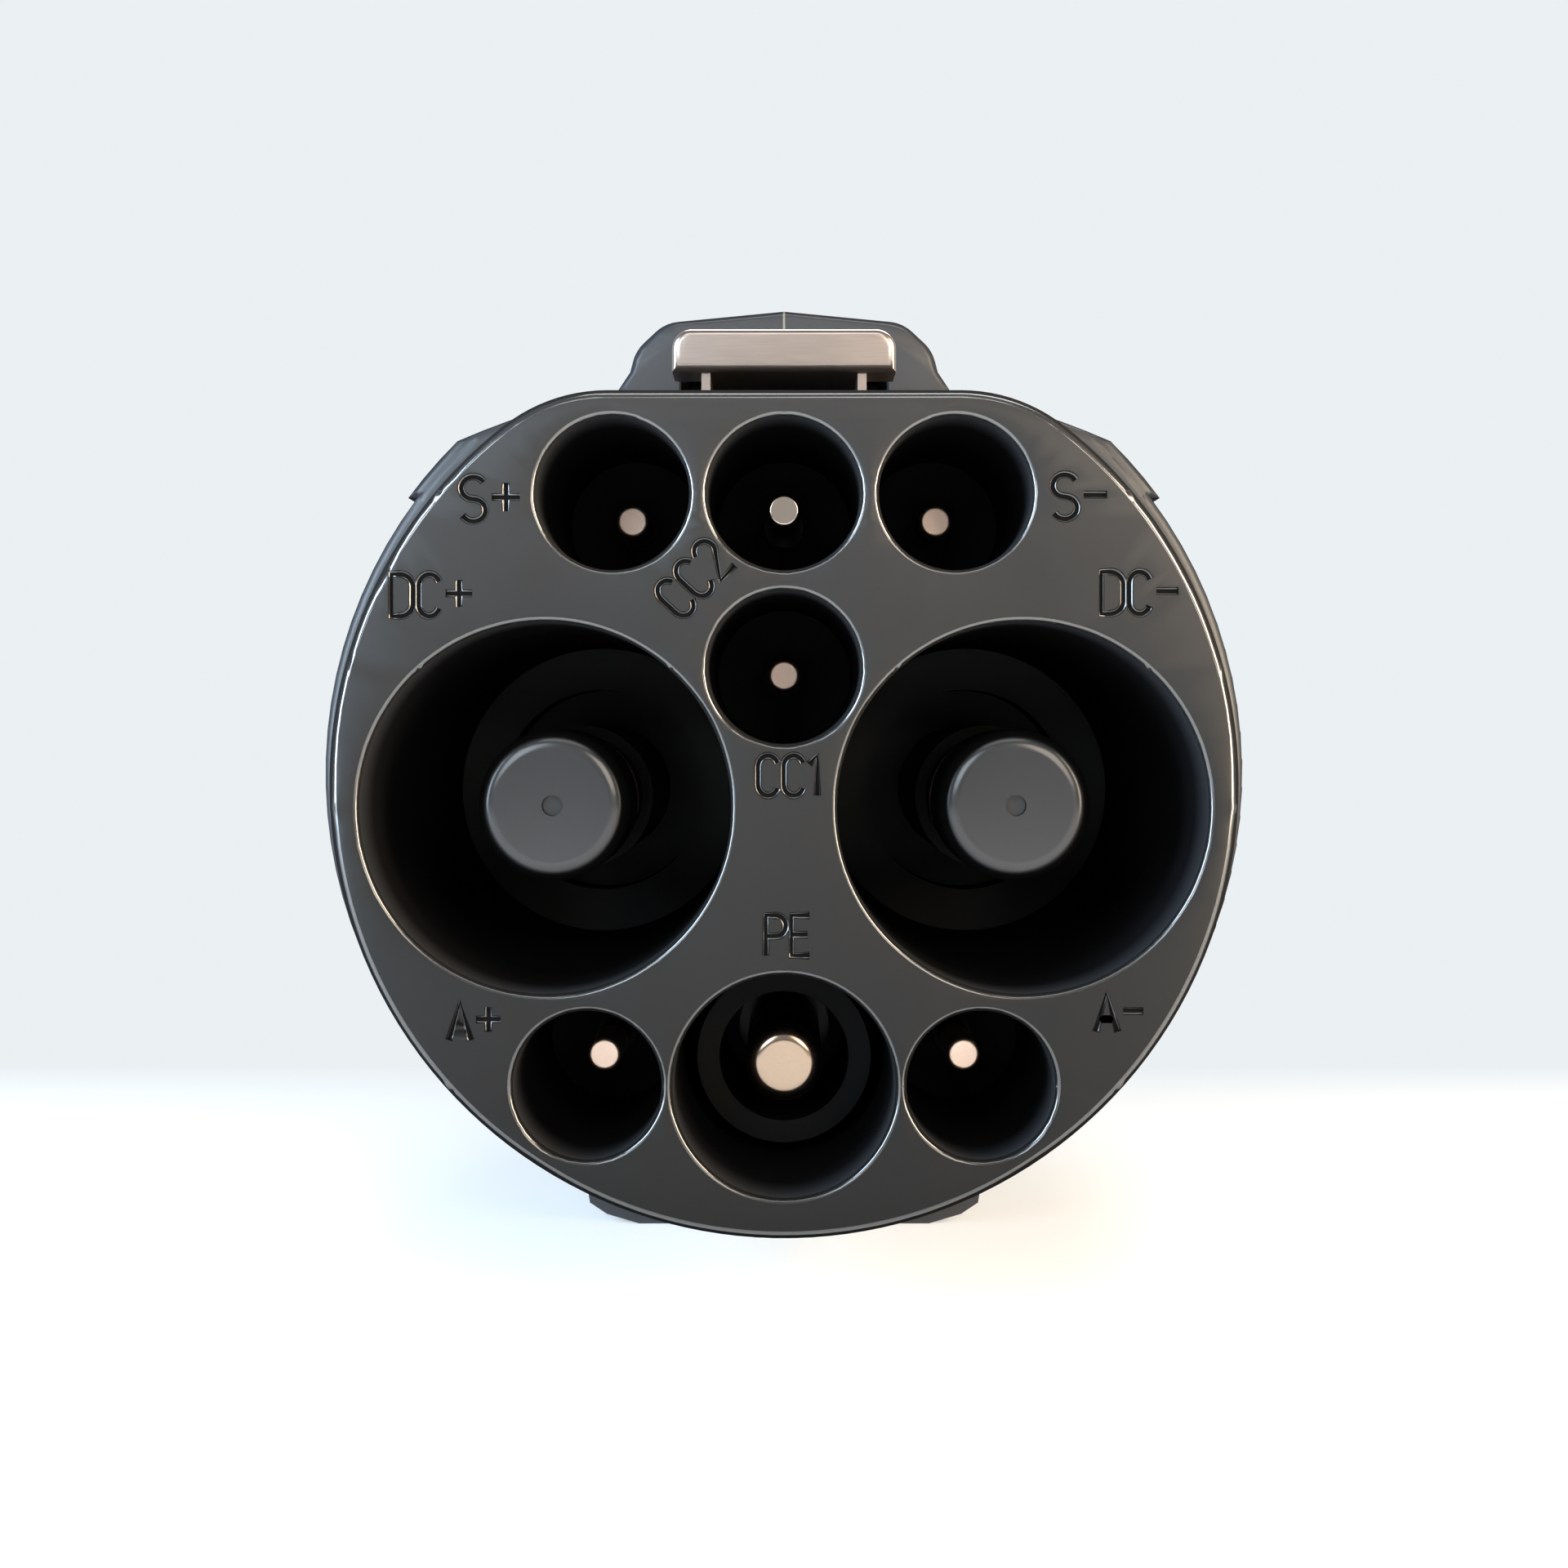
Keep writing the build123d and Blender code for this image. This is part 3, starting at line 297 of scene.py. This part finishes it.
cloud = noise_node(brush, place, METAL_CLOUD_PER_M, 2.0)
brush.links.new(lines, brush_out.inputs["Height"])
brush.links.new(math_node(brush, "ADD", math_node(brush, "MULTIPLY", lines, 0.6),
                          math_node(brush, "MULTIPLY", cloud, 0.4)), brush_out.inputs["Tone"])

# %% A parting line down the middle, the mask for the seam's painted highlight
parting, parting_in, parting_out = new_group("parting_line", [("Half width m", 0.00007)], ["Mask"])
across = math_node(parting, "ABSOLUTE", object_axis(parting, "X"))
inside = math_node(parting, "DIVIDE", across, parting_in.outputs["Half width m"])
parting.links.new(ramp_between(parting, inside, 2.0, 1.0), parting_out.inputs["Mask"])

# %% Fades along the plug's own axes
def fade_group(name, axis):
    group, ins, outs = new_group(name, [("Start m", 0.0), ("End m", 0.005)], ["Mask"])
    span = group.nodes.new("ShaderNodeMapRange")
    group.links.new(object_axis(group, axis), span.inputs["Value"])
    group.links.new(ins.outputs["Start m"], span.inputs["From Min"])
    group.links.new(ins.outputs["End m"], span.inputs["From Max"])
    group.links.new(span.outputs["Result"], outs.inputs["Mask"])
    return group


def placed(tree, group, **settings):
    node = tree.nodes.new("ShaderNodeGroup")
    node.node_tree = group
    for title, value in settings.items():
        node.inputs[title.replace("_", " ")].default_value = value
    return node


fade_inward = fade_group("fade_inward", "Y")
fade_upward = fade_group("fade_upward", "Z")
print("groups:", [group.name for group in (grain, brush, parting, fade_inward, fade_upward)])

# %% [markdown]
# ## Finishes
# A finish is a principled shader whose colour and roughness wander a little with the tone of
# one of the groups, and whose surface is dented by its height. A dent in the mesh would need
# millions of faces, so grain this fine is bump.

# %% One recipe for every finish
TONES = (0.3, 0.7)                           # noise seldom leaves this span
COAT_ROUGHNESS = 0.12
DENT_DEPTH = 0.02 * MM


def colour_mix(tree, factor, dark, light):
    node = tree.nodes.new("ShaderNodeMix")
    node.data_type = "RGBA"
    for title, colour in (("A", dark), ("B", light)):
        socket = next(i for i in node.inputs if i.name == title and i.type == "RGBA")
        if isinstance(colour, tuple):
            socket.default_value = (*colour, 1)
        else:
            tree.links.new(colour, socket)
    tree.links.new(factor, node.inputs[0])
    return next(o for o in node.outputs if o.type == "RGBA")


def finish_of(name, group, settings, dark, light, roughness, bump, metallic=0.0, specular=0.5, coat=0.0):
    material, tree, shader = new_material(name)
    effect = placed(tree, group, **settings)
    tone = effect.outputs["Tone"]
    colour = colour_mix(tree, ramp_between(tree, tone, *TONES), dark, light)
    tree.links.new(colour, shader.inputs["Base Color"])
    tree.links.new(ramp_between(tree, tone, *TONES, *roughness), shader.inputs["Roughness"])
    shader.inputs["Metallic"].default_value = metallic
    shader.inputs["Specular IOR Level"].default_value = specular
    shader.inputs["Coat Weight"].default_value = coat
    shader.inputs["Coat Roughness"].default_value = COAT_ROUGHNESS
    dent = tree.nodes.new("ShaderNodeBump")
    dent.inputs["Strength"].default_value = bump
    dent.inputs["Distance"].default_value = DENT_DEPTH
    tree.links.new(effect.outputs["Height"], dent.inputs["Height"])
    tree.links.new(dent.outputs["Normal"], shader.inputs["Normal"])
    return material


GLANCING = (0.35, 0.7)                       # matt plastic loses its gloss where it is seen at a glance


def plastic(name, dark, light, roughness=(0.42, 0.52), bump=0.25, specular=0.35, coat=0.0):
    material = finish_of(name, grain, {}, dark, light, roughness, bump, 0.0, specular, coat)
    tree = material.node_tree
    shader = tree.nodes["Principled BSDF"]
    tilt = tree.nodes.new("ShaderNodeLayerWeight").outputs["Facing"]
    for title in ("Specular IOR Level", "Coat Weight"):
        full = shader.inputs[title].default_value
        tree.links.new(ramp_between(tree, tilt, *GLANCING, full, 0.0), shader.inputs[title])
    return material


def metal(name, dark, light, roughness=(0.25, 0.4), bump=0.2, stretch=0.03):
    return finish_of(name, brush, {"Stretch": stretch}, dark, light, roughness, bump, 1.0)


HEAD_DARK, HEAD_LIGHT = (0.016, 0.0156, 0.0157), (0.0205, 0.02, 0.0202)
finishes = {
    "head_plastic": plastic("head_plastic", HEAD_DARK, HEAD_LIGHT, (0.38, 0.46), 0.12, specular=0.25),
    "housing_plastic": plastic("housing_plastic", (0.019, 0.020, 0.0225), (0.026, 0.0275, 0.031)),
    "cap_plastic": plastic("cap_plastic", (0.019, 0.0195, 0.021), (0.021, 0.0215, 0.023),
                           (0.2, 0.21), 0.0, specular=0.45),
    "contact_metal": metal("contact_metal", (0.72, 0.54, 0.44), (0.82, 0.63, 0.52), (0.34, 0.44), 0.1, 1.0),
    "bright_contact": metal("bright_contact", (0.55, 0.46, 0.39), (0.65, 0.55, 0.47),
                            (0.12, 0.18), 0.02, 1.0),
    "latch_metal": metal("latch_metal", (0.34, 0.285, 0.255), (0.41, 0.345, 0.31), (0.28, 0.34), 0.03),
    "plain_steel": metal("plain_steel", (0.48, 0.49, 0.5), (0.6, 0.61, 0.62), (0.28, 0.4), stretch=1.0),
    "seal_rubber": plastic("seal_rubber", (0.014, 0.014, 0.015), (0.022, 0.022, 0.023), (0.6, 0.75)),
    "button_plastic": plastic("button_plastic", (0.03, 0.032, 0.035), (0.04, 0.042, 0.045), (0.4, 0.5)),
    "board_green": plastic("board_green", (0.015, 0.09, 0.04), (0.02, 0.12, 0.05), (0.25, 0.35)),
    "device_black": plastic("device_black", (0.02, 0.02, 0.021), (0.028, 0.028, 0.03), (0.4, 0.5)),
    "fitting_plastic": plastic("fitting_plastic", (0.032, 0.034, 0.037), (0.044, 0.046, 0.05), (0.45, 0.55)),
}
rim_polish = plastic("rim_polish", HEAD_DARK, HEAD_LIGHT, (0.2, 0.26), 0.0, specular=1.0, coat=0.8)
print("finishes:", len(finishes))

# %% [markdown]
# ## Deep sockets
# The inside of a socket gets almost no light. The lamps alone would still leave it grey, because
# each wall lights the other. So its shade is painted in: its finish is blacker than the face and has
# less gloss, and its colour runs from the grey of the face at the mouth to painted black a few millimetres
# down.

# %% Socket finish, with painted shade
# Painted shade: over this depth the socket walls darken from the face's grey at the mouth to black.
MOUTH_FADE = 5 * MM
MOUTH_GREY = (0.018, 0.019, 0.021)
socket_painted_shade = plastic("socket_painted_shade", (0.003, 0.003, 0.0032), (0.005, 0.005, 0.0052),
                       (0.55, 0.7), 0.1, specular=0.08)
tree = socket_painted_shade.node_tree
base = tree.nodes["Principled BSDF"].inputs["Base Color"]
depth = placed(tree, fade_inward, Start_m=0.0, End_m=MOUTH_FADE).outputs["Mask"]
tree.links.new(colour_mix(tree, depth, MOUTH_GREY, base.links[0].from_socket), base)

# %% Other finishes down in the sockets; the groove and holder colours are painted shade
earth_metal = metal("earth_metal", (0.27, 0.20, 0.15), (0.33, 0.25, 0.19), (0.14, 0.2), 0.02, 1.0)
# Painted shade: the cores of the engraved grooves get a near-black colour.
groove_painted_shade = plastic("groove_painted_shade", (0.002, 0.002, 0.002), (0.003, 0.003, 0.003),
                      (0.6, 0.7), 0.0, specular=0.05)
# Painted shade: the contact holder, seen down in the sockets, is darker than the plastic in the open.
holder_painted_shade = plastic("holder_painted_shade", (0.008, 0.008, 0.008), (0.012, 0.012, 0.012),
                      (0.5, 0.6), 0.1, specular=0.2)
print("finishes in all:", len(bpy.data.materials))

# %% [markdown]
# ## Painted light and shade by place
# Some finishes carry painted light and shade along the plug itself. The contacts darken behind
# their tips (painted shade), the face is lighter near its top and darker at its foot (painted light
# and shade), and a cap's rounded side is darker than its front (painted shade). The lamps alone
# give part of this, and painted colour gives the rest. Each change of colour is tied to the piece's
# own axes or to the way its surface points, and not to the angle it is seen from, so it stays where
# it is on the plug from every side.

# %% Painted shade: contacts go dark behind their tips
# Painted shade: behind this depth the contact metal turns near black, in place of the light that does not
# reach it.
SHADE_START, SHADE_END = 20.4 * MM, 21.5 * MM
SHADED_METAL = (0.004, 0.004, 0.004)
for metal_finish in (finishes["contact_metal"], finishes["bright_contact"], earth_metal):
    tree = metal_finish.node_tree
    base = tree.nodes["Principled BSDF"].inputs["Base Color"]
    shade = placed(tree, fade_inward, Start_m=SHADE_START, End_m=SHADE_END).outputs["Mask"]
    tree.links.new(colour_mix(tree, shade, base.links[0].from_socket, SHADED_METAL), base)

# %% Painted light: the face is lighter and glossier at the top
# Painted light and shade: the face's colour runs from painted shade at its foot to most of its own colour at
# the top, and its gloss rises towards the top.
FACE_LOW, FACE_HIGH = -38 * MM, 33 * MM
FACE_PAINTED_SHADE = (0.006, 0.006, 0.006)
TOP_SHARE = 0.75                             # how much of the full colour the top has
GLOSS_LOW, GLOSS_HIGH = 0.5, 1.1
for finish in (finishes["head_plastic"], rim_polish):
    tree = finish.node_tree
    base = tree.nodes["Principled BSDF"].inputs["Base Color"]
    height = placed(tree, fade_upward, Start_m=FACE_LOW, End_m=FACE_HIGH).outputs["Mask"]
    share = math_node(tree, "MULTIPLY", height, TOP_SHARE)
    tree.links.new(colour_mix(tree, share, FACE_PAINTED_SHADE, base.links[0].from_socket), base)
    level = tree.nodes["Principled BSDF"].inputs["Specular IOR Level"]
    gloss = ramp_between(tree, object_axis(tree, "Z"), FACE_LOW, FACE_HIGH, GLOSS_LOW, GLOSS_HIGH)
    tree.links.new(math_node(tree, "MULTIPLY", level.links[0].from_socket, gloss), level)

# %% Painted shade: the sides of the caps are black
CAP_SIDE = (0.08, 0.24)                      # 0 points straight along the plug, 1 straight across it
CAP_SIDE_PAINTED_SHADE = (0.002, 0.002, 0.002)
# Painted shade: where a cap's surface turns across the plug it is coloured near black and loses its gloss.
tree = finishes["cap_plastic"].node_tree
shader = tree.nodes["Principled BSDF"]
pointing = tree.nodes.new("ShaderNodeSeparateXYZ")
tree.links.new(tree.nodes.new("ShaderNodeTexCoord").outputs["Normal"], pointing.inputs[0])
aside = math_node(tree, "SUBTRACT", 1.0, math_node(tree, "ABSOLUTE", pointing.outputs["Y"]))
side = ramp_between(tree, aside, *CAP_SIDE)
base = shader.inputs["Base Color"]
tree.links.new(colour_mix(tree, side, base.links[0].from_socket, CAP_SIDE_PAINTED_SHADE), base)
level = shader.inputs["Specular IOR Level"]
front = math_node(tree, "SUBTRACT", 1.0, side)
tree.links.new(math_node(tree, "MULTIPLY", level.links[0].from_socket, front), level)

# %% [markdown]
# ## Seam
# The two halves of the housing meet in the middle plane, and the edge of the joint catches a thin
# line of light, which is painted here as a highlight. A cut in the mesh would be narrower than its
# own faces, so the painted highlight is a mask on the distance from that plane.

# %% Painted highlight on the housing seam
# Painted highlight: a thin warm light line along the joint.
SEAM_HIGHLIGHT = (0.16, 0.145, 0.125)
tree = finishes["housing_plastic"].node_tree
base = tree.nodes["Principled BSDF"].inputs["Base Color"]
seam = placed(tree, parting).outputs["Mask"]
tree.links.new(colour_mix(tree, seam, base.links[0].from_socket, SEAM_HIGHLIGHT), base)

# %% [markdown]
# ## Soft shading on the CAD pieces
# A CAD mesh arrives as loose triangles. A small geometry-node group joins them, shades them
# smooth and keeps an edge sharp where it turns by more than the stated angle. Weighted normals
# then let the large flat faces win, so a narrow chamfer reads as a rounded edge.

# %% Smooth by angle
SHARP_ANGLE = radians(50)
JOIN_DISTANCE = 0.001 * MM

soft = bpy.data.node_groups.new("soft_shading", "GeometryNodeTree")
soft.interface.new_socket("Geometry", in_out="INPUT", socket_type="NodeSocketGeometry")
soft.interface.new_socket("Geometry", in_out="OUTPUT", socket_type="NodeSocketGeometry")
join = soft.nodes.new("GeometryNodeMergeByDistance")
join.inputs["Distance"].default_value = JOIN_DISTANCE
smooth = soft.nodes.new("GeometryNodeSetShadeSmooth")
crease = soft.nodes.new("GeometryNodeSetShadeSmooth")
crease.domain = "EDGE"
crease.inputs["Shade Smooth"].default_value = False
sharper = soft.nodes.new("FunctionNodeCompare")
sharper.operation = "GREATER_THAN"
sharper.inputs[1].default_value = SHARP_ANGLE
angle = soft.nodes.new("GeometryNodeInputMeshEdgeAngle")
soft.links.new(soft.nodes.new("NodeGroupInput").outputs[0], join.inputs[0])
soft.links.new(join.outputs[0], smooth.inputs[0])
soft.links.new(smooth.outputs[0], crease.inputs[0])
soft.links.new(angle.outputs["Unsigned Angle"], sharper.inputs[0])
soft.links.new(sharper.outputs[0], crease.inputs["Selection"])
soft.links.new(crease.outputs[0], soft.nodes.new("NodeGroupOutput").inputs[0])


EDGE_STEPS = 3


def shade_softly(obj, edge_r=0.0):
    shading = obj.modifiers.new("soft_shading", "NODES")
    shading.node_group = soft
    if edge_r:
        rounded = obj.modifiers.new("worn_edges", "BEVEL")
        rounded.width = edge_r
        rounded.segments = EDGE_STEPS
        rounded.angle_limit = SHARP_ANGLE
    weighted = obj.modifiers.new("weighted_normals", "WEIGHTED_NORMAL")
    weighted.keep_sharp = True
    weighted.weight = 100


# %% A finish for every node
# Pieces down in the sockets take these finishes in place of their own; the sleeve and holder ones are
# painted shade.
IN_SOCKETS = {"contact_holder": holder_painted_shade, "pe_sleeve": socket_painted_shade, "pe_contact": earth_metal}
EDGE_R = {"latch_lever": 0.4 * MM, "release_button": 0.3 * MM, "gland_nut": 0.5 * MM}
slot_of = {row["node"]: row["material_slot"] for row in frame["record"]["subparts"]}
for name, node in nodes.items():
    node.data.materials.clear()
    node.data.materials.append(IN_SOCKETS.get(name, finishes[slot_of[name]]))
    shade_softly(node, EDGE_R.get(name, 0.0))
print("nodes dressed:", len(nodes))

# %% [markdown]
# ## Markings on the face
# Every contact has its function mark engraved beside it, as all plugs of this kind do. A mark
# is a few pen strokes. Each stroke becomes a thin round tube that lies in the face, and the
# tubes are cut out of the head with a boolean, which leaves grooves with a round bottom.

# %% Pen strokes of each sign, on a height of 1
def arc(cx, cz, rx, rz, start, end, steps=14):
    turns = [radians(start + (end - start) * i / steps) for i in range(steps + 1)]
    return [(cx + rx * cos(t), cz + rz * sin(t)) for t in turns]


SIGNS = {                                    # width, strokes
    "C": (0.5, [arc(0.25, 0.72, 0.25, 0.28, 20, 180) + arc(0.25, 0.28, 0.25, 0.28, 180, 340)]),
    "D": (0.52, [arc(0.2, 0.7, 0.32, 0.3, 90, 0) + arc(0.2, 0.3, 0.32, 0.3, 0, -90)
                 + [(0, 0), (0, 1), (0.2, 1)]]),
    "S": (0.55, [arc(0.275, 0.75, 0.275, 0.25, 30, 265) + arc(0.275, 0.25, 0.275, 0.25, 85, -150)]),
    "A": (0.56, [[(0, 0), (0.28, 1), (0.56, 0)], [(0.1, 0.33), (0.46, 0.33)]]),
    "P": (0.5, [[(0, 0), (0, 1), (0.24, 1)] + arc(0.25, 0.74, 0.25, 0.26, 90, -90) + [(0, 0.48)]]),
    "E": (0.45, [[(0.45, 1), (0, 1), (0, 0), (0.45, 0)], [(0, 0.52), (0.4, 0.52)]]),
    "1": (0.2, [[(0, 0.78), (0.2, 1), (0.2, 0)]]),
    "2": (0.5, [arc(0.25, 0.74, 0.25, 0.26, 165, -20) + [(0, 0), (0.5, 0)]]),
    "+": (0.64, [[(0, 0.54), (0.64, 0.54)], [(0.32, 0.22), (0.32, 0.86)]]),
    "-": (0.53, [[(0, 0.54), (0.53, 0.54)]]),
}
SIGN_SPACE = 0.14
CLOSED = 0.001                               # a stroke whose ends are nearer than this is a loop
MARKS = (                                    # text, middle x and z, height, turn in degrees
    ("S+", -24.4, 23.7, 3.7, 0), ("S-", 24.6, 23.9, 3.7, 0), ("DC+", -29.3, 15.7, 3.5, 0),
    ("DC-", 29.6, 15.9, 3.5, 0), ("CC2", -7.5, 17.1, 3.5, 47), ("CC1", 0.3, 0.7, 3.33, 0),
    ("PE", 0.3, -12.6, 3.33, 0), ("A+", -25.7, -19.7, 3.2, 0), ("A-", 27.9, -19.0, 3.2, 0),
)
STROKE_R, STROKE_Y = 0.36 * MM, -0.1 * MM    # the tube's axis lies a little in front of the face

# %% Strokes as round tubes
def pen_strokes(name, crossing):
    pen = bpy.data.curves.new(name, "CURVE")
    pen.dimensions = "3D"
    pen.bevel_depth = STROKE_R
    pen.bevel_resolution = 4
    pen.use_fill_caps = True
    for text, mid_x, mid_z, height, turn in MARKS:
        width = sum(SIGNS[sign][0] for sign in text) + SIGN_SPACE * (len(text) - 1)
        start = -width / 2
        c, s = cos(radians(turn)), sin(radians(turn))
        for sign in text:
            strokes = SIGNS[sign][1]
            for stroke in strokes[1:] if crossing else strokes[:1]:
                (x_start, z_start), (x_end, z_end) = stroke[0], stroke[-1]
                spline = pen.splines.new("POLY")
                spline.use_cyclic_u = hypot(x_start - x_end, z_start - z_end) < CLOSED
                stops = stroke[:-1] if spline.use_cyclic_u else stroke
                spline.points.add(len(stops) - 1)
                for point, (x, z) in zip(spline.points, stops):
                    across, up = (start + x) * height, (z - 0.5) * height
                    mark_x = mid_x + across * c - up * s
                    mark_z = mid_z + across * s + up * c
                    point.co = (mark_x * MM, STROKE_Y, mark_z * MM, 1)
            start += SIGNS[sign][0] + SIGN_SPACE
    return link(bpy.data.objects.new(name, pen))


pens = [pen_strokes("strokes", False), pen_strokes("crossing_strokes", True)]
print("strokes:", [len(pen.data.splines) for pen in pens])

# %% [markdown]
# ## Head
# The head is one moulding, which the CAD divides into bands. The bands are joined again, the
# faces where they met are taken out and the marks are cut in. Bump alone could draw the marks,
# but their shadows and their outline in the mesh would be missing, so they are real grooves.

# %% Copy of the carrier with the marks cut in
def evaluated_mesh(obj, name):
    depsgraph = bpy.context.evaluated_depsgraph_get()
    mesh = bpy.data.meshes.new_from_object(obj.evaluated_get(depsgraph))
    mesh.name = name
    return mesh


NOT_BANDS = ("carrier_back_plate", "carrier_seal")
BANDS = [name for name in nodes if name.startswith("carrier_") and name not in NOT_BANDS]
BAND_LEVELS = [z * MM for z in (24.2, 9.7, -2.0, -25.2)]      # where two bands meet
STRAIGHT = 0.999                             # how far a normal follows an axis to count as square to it


def inside_moulding(face):
    middle = face.calc_center_median()
    at_joint = any(abs(middle.z - level) < JOIN_DISTANCE for level in BAND_LEVELS)
    return at_joint and abs(face.normal.z) > STRAIGHT


mesh = bpy.data.meshes.new("head_blank")
work = bmesh.new()
for name in BANDS:
    work.from_mesh(nodes[name].data)
bmesh.ops.remove_doubles(work, verts=work.verts, dist=JOIN_DISTANCE)
work.normal_update()
bmesh.ops.delete(work, geom=[face for face in work.faces if inside_moulding(face)], context="FACES")
bmesh.ops.remove_doubles(work, verts=work.verts, dist=JOIN_DISTANCE)
print("open edges of the head:", sum(not edge.is_manifold for edge in work.edges))
work.to_mesh(mesh)
work.free()
blank = link(bpy.data.objects.new("head_blank", mesh))
cutters = []
for pen in pens:
    cutter = link(bpy.data.objects.new("cutter", evaluated_mesh(pen, "cutter")))
    cut = blank.modifiers.new("cut_marks", "BOOLEAN")
    cut.operation = "DIFFERENCE"
    cut.solver = "EXACT"
    cut.use_self = True
    cut.object = cutter
    cutters.append(cutter)
head = link(bpy.data.objects.new("head_moulding", evaluated_mesh(blank, "head_moulding")))
for helper in (blank, *pens, *cutters):
    bpy.data.objects.remove(helper)
print("head faces:", len(head.data.polygons))

# %% [markdown]
# ## Rims, grooves and socket walls
# The head has four finishes. Its rims are rubbed smooth by every car it was plugged into, so they
# are glossier than the grained face, and the grooves and socket walls carry painted shade. One material
# with masks could do this too, but a material slot for each finish is easier to read and to change.
# Each mesh face gets its slot from where its middle lies.

# %% Which faces are rim, groove or socket wall
SOCKET_R = {"dc": 15.5, "pe": 9.3, "a_": 6.2, "s_": 6.4, "cc": 6.4}      # by how the contact's name starts
WALL_MARGIN = 0.05
LIP = 0.45 * MM
FACE_EDGE = 0.85 * MM
FACE_R, FACE_TOP = 37 * MM, 32 * MM          # past these the face rolls over its edge
MARK_REACH = 5 * MM
CORE_DEPTH = 0.2 * MM
IN_FACE = 0.01 * MM
sockets = []
for name in nodes:
    if name.endswith("_contact"):
        low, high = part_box(name)
        radius = SOCKET_R[name[:2]] + WALL_MARGIN
        sockets.append(((low[0] + high[0]) / 2, (low[2] + high[2]) / 2, radius * MM))


def face_kind(centre):
    if any(hypot(centre.x - x, centre.z - z) < r + (LIP if centre.y < LIP else 0) for x, z, r in sockets):
        return "rim" if centre.y < LIP else "socket"
    if hypot(centre.x, centre.z) > FACE_R or centre.z > FACE_TOP:
        return "rim" if centre.y < FACE_EDGE else "face"
    marked = any(hypot(centre.x - x * MM, centre.z - z * MM) < MARK_REACH for _, x, z, _, _ in MARKS)
    if marked and centre.y < FACE_EDGE:
        return "rim" if centre.y < CORE_DEPTH else "groove"
    return "rim" if centre.y < FACE_EDGE else "face"


head.data.materials.clear()
KINDS = {"face": finishes["head_plastic"], "rim": rim_polish, "socket": socket_painted_shade, "groove": groove_painted_shade}
for finish in KINDS.values():
    head.data.materials.append(finish)
order = list(KINDS)
for polygon in head.data.polygons:
    flat_face = abs(polygon.normal.y) > STRAIGHT and polygon.center.y < IN_FACE
    polygon.material_index = order.index("face" if flat_face else face_kind(polygon.center))
shade_softly(head)
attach(head, "plug_body")
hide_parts(*BANDS)
counts = [polygon.material_index for polygon in head.data.polygons]
print({kind: counts.count(i) for i, kind in enumerate(order)})

# %% [markdown]
# ## Contacts
# The tips of the earth and signal contacts are seen close up, so they are turned again from the
# CAD's sizes with finer curves. Places and tips come from the CAD pieces themselves.

# %% Turned contacts, in mm
FLANGE_START, FLANGE_END, CRIMP_FLOOR = 55, 58, 61
NOSE_STEPS, RING_STEPS = 10, 96
# Radius of the pin and of its nose, socket floor, then radii of collar, flange, barrel and crimp bore.
SMALL_SIZES = (1.5, 0.35, 24, 1.9, 4.5, 3.5, 2.0)
EARTH_SIZES = (3.5, 1.5, 30, 4.5, 7.5, 6.0, 4.0)


def contact_profile(sizes, tip, end):
    """Radius and distance behind the mating face, from the tip round to the floor of the crimp bore."""
    pin, nose, floor, collar, flange, barrel, crimp = sizes
    quarter = [pi / 2 * i / NOSE_STEPS for i in range(NOSE_STEPS + 1)]
    return [
        *[(pin - nose + nose * sin(a), tip + nose * (1 - cos(a))) for a in quarter],
        (pin, floor), (collar, floor), (collar, FLANGE_START), (flange, FLANGE_START),
        (flange, FLANGE_END), (barrel, FLANGE_END), (barrel, end), (crimp, end), (crimp, CRIMP_FLOOR),
    ]


def turned(name, profile, x, z):
    """A profile spun round an axis along Y, with its faces pointing outwards."""
    verts = []
    for r, y in profile:
        for i in range(RING_STEPS):
            a = 2 * pi * i / RING_STEPS
            verts.append((x + r * MM * cos(a), y * MM, z + r * MM * sin(a)))
    rings = [range(k * RING_STEPS, (k + 1) * RING_STEPS) for k in range(len(profile))]
    faces = []
    for ring, after in zip(rings, rings[1:]):
        for i in range(RING_STEPS):
            j = (i + 1) % RING_STEPS
            faces.append((ring[i], after[i], after[j], ring[j]))
    faces += [tuple(rings[0]), tuple(reversed(rings[-1]))]
    return mesh_object(name, verts, faces)


# %% One turned copy for each thin contact
for name in sorted(nodes):
    if name.endswith("_contact") and not name.startswith("dc_"):
        low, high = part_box(name)
        sizes = EARTH_SIZES if name == "pe_contact" else SMALL_SIZES
        profile = contact_profile(sizes, low[1] / MM, high[1] / MM)
        contact = turned(f"{name}_turned", profile, (low[0] + high[0]) / 2, (low[2] + high[2]) / 2)
        contact.data.materials.append(IN_SOCKETS.get(name, finishes[slot_of[name]]))
        shade_softly(contact)
        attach(contact, "plug_body")
        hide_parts(name)
        print(name, "tip", round(low[1] / MM, 2), "mm behind the face")
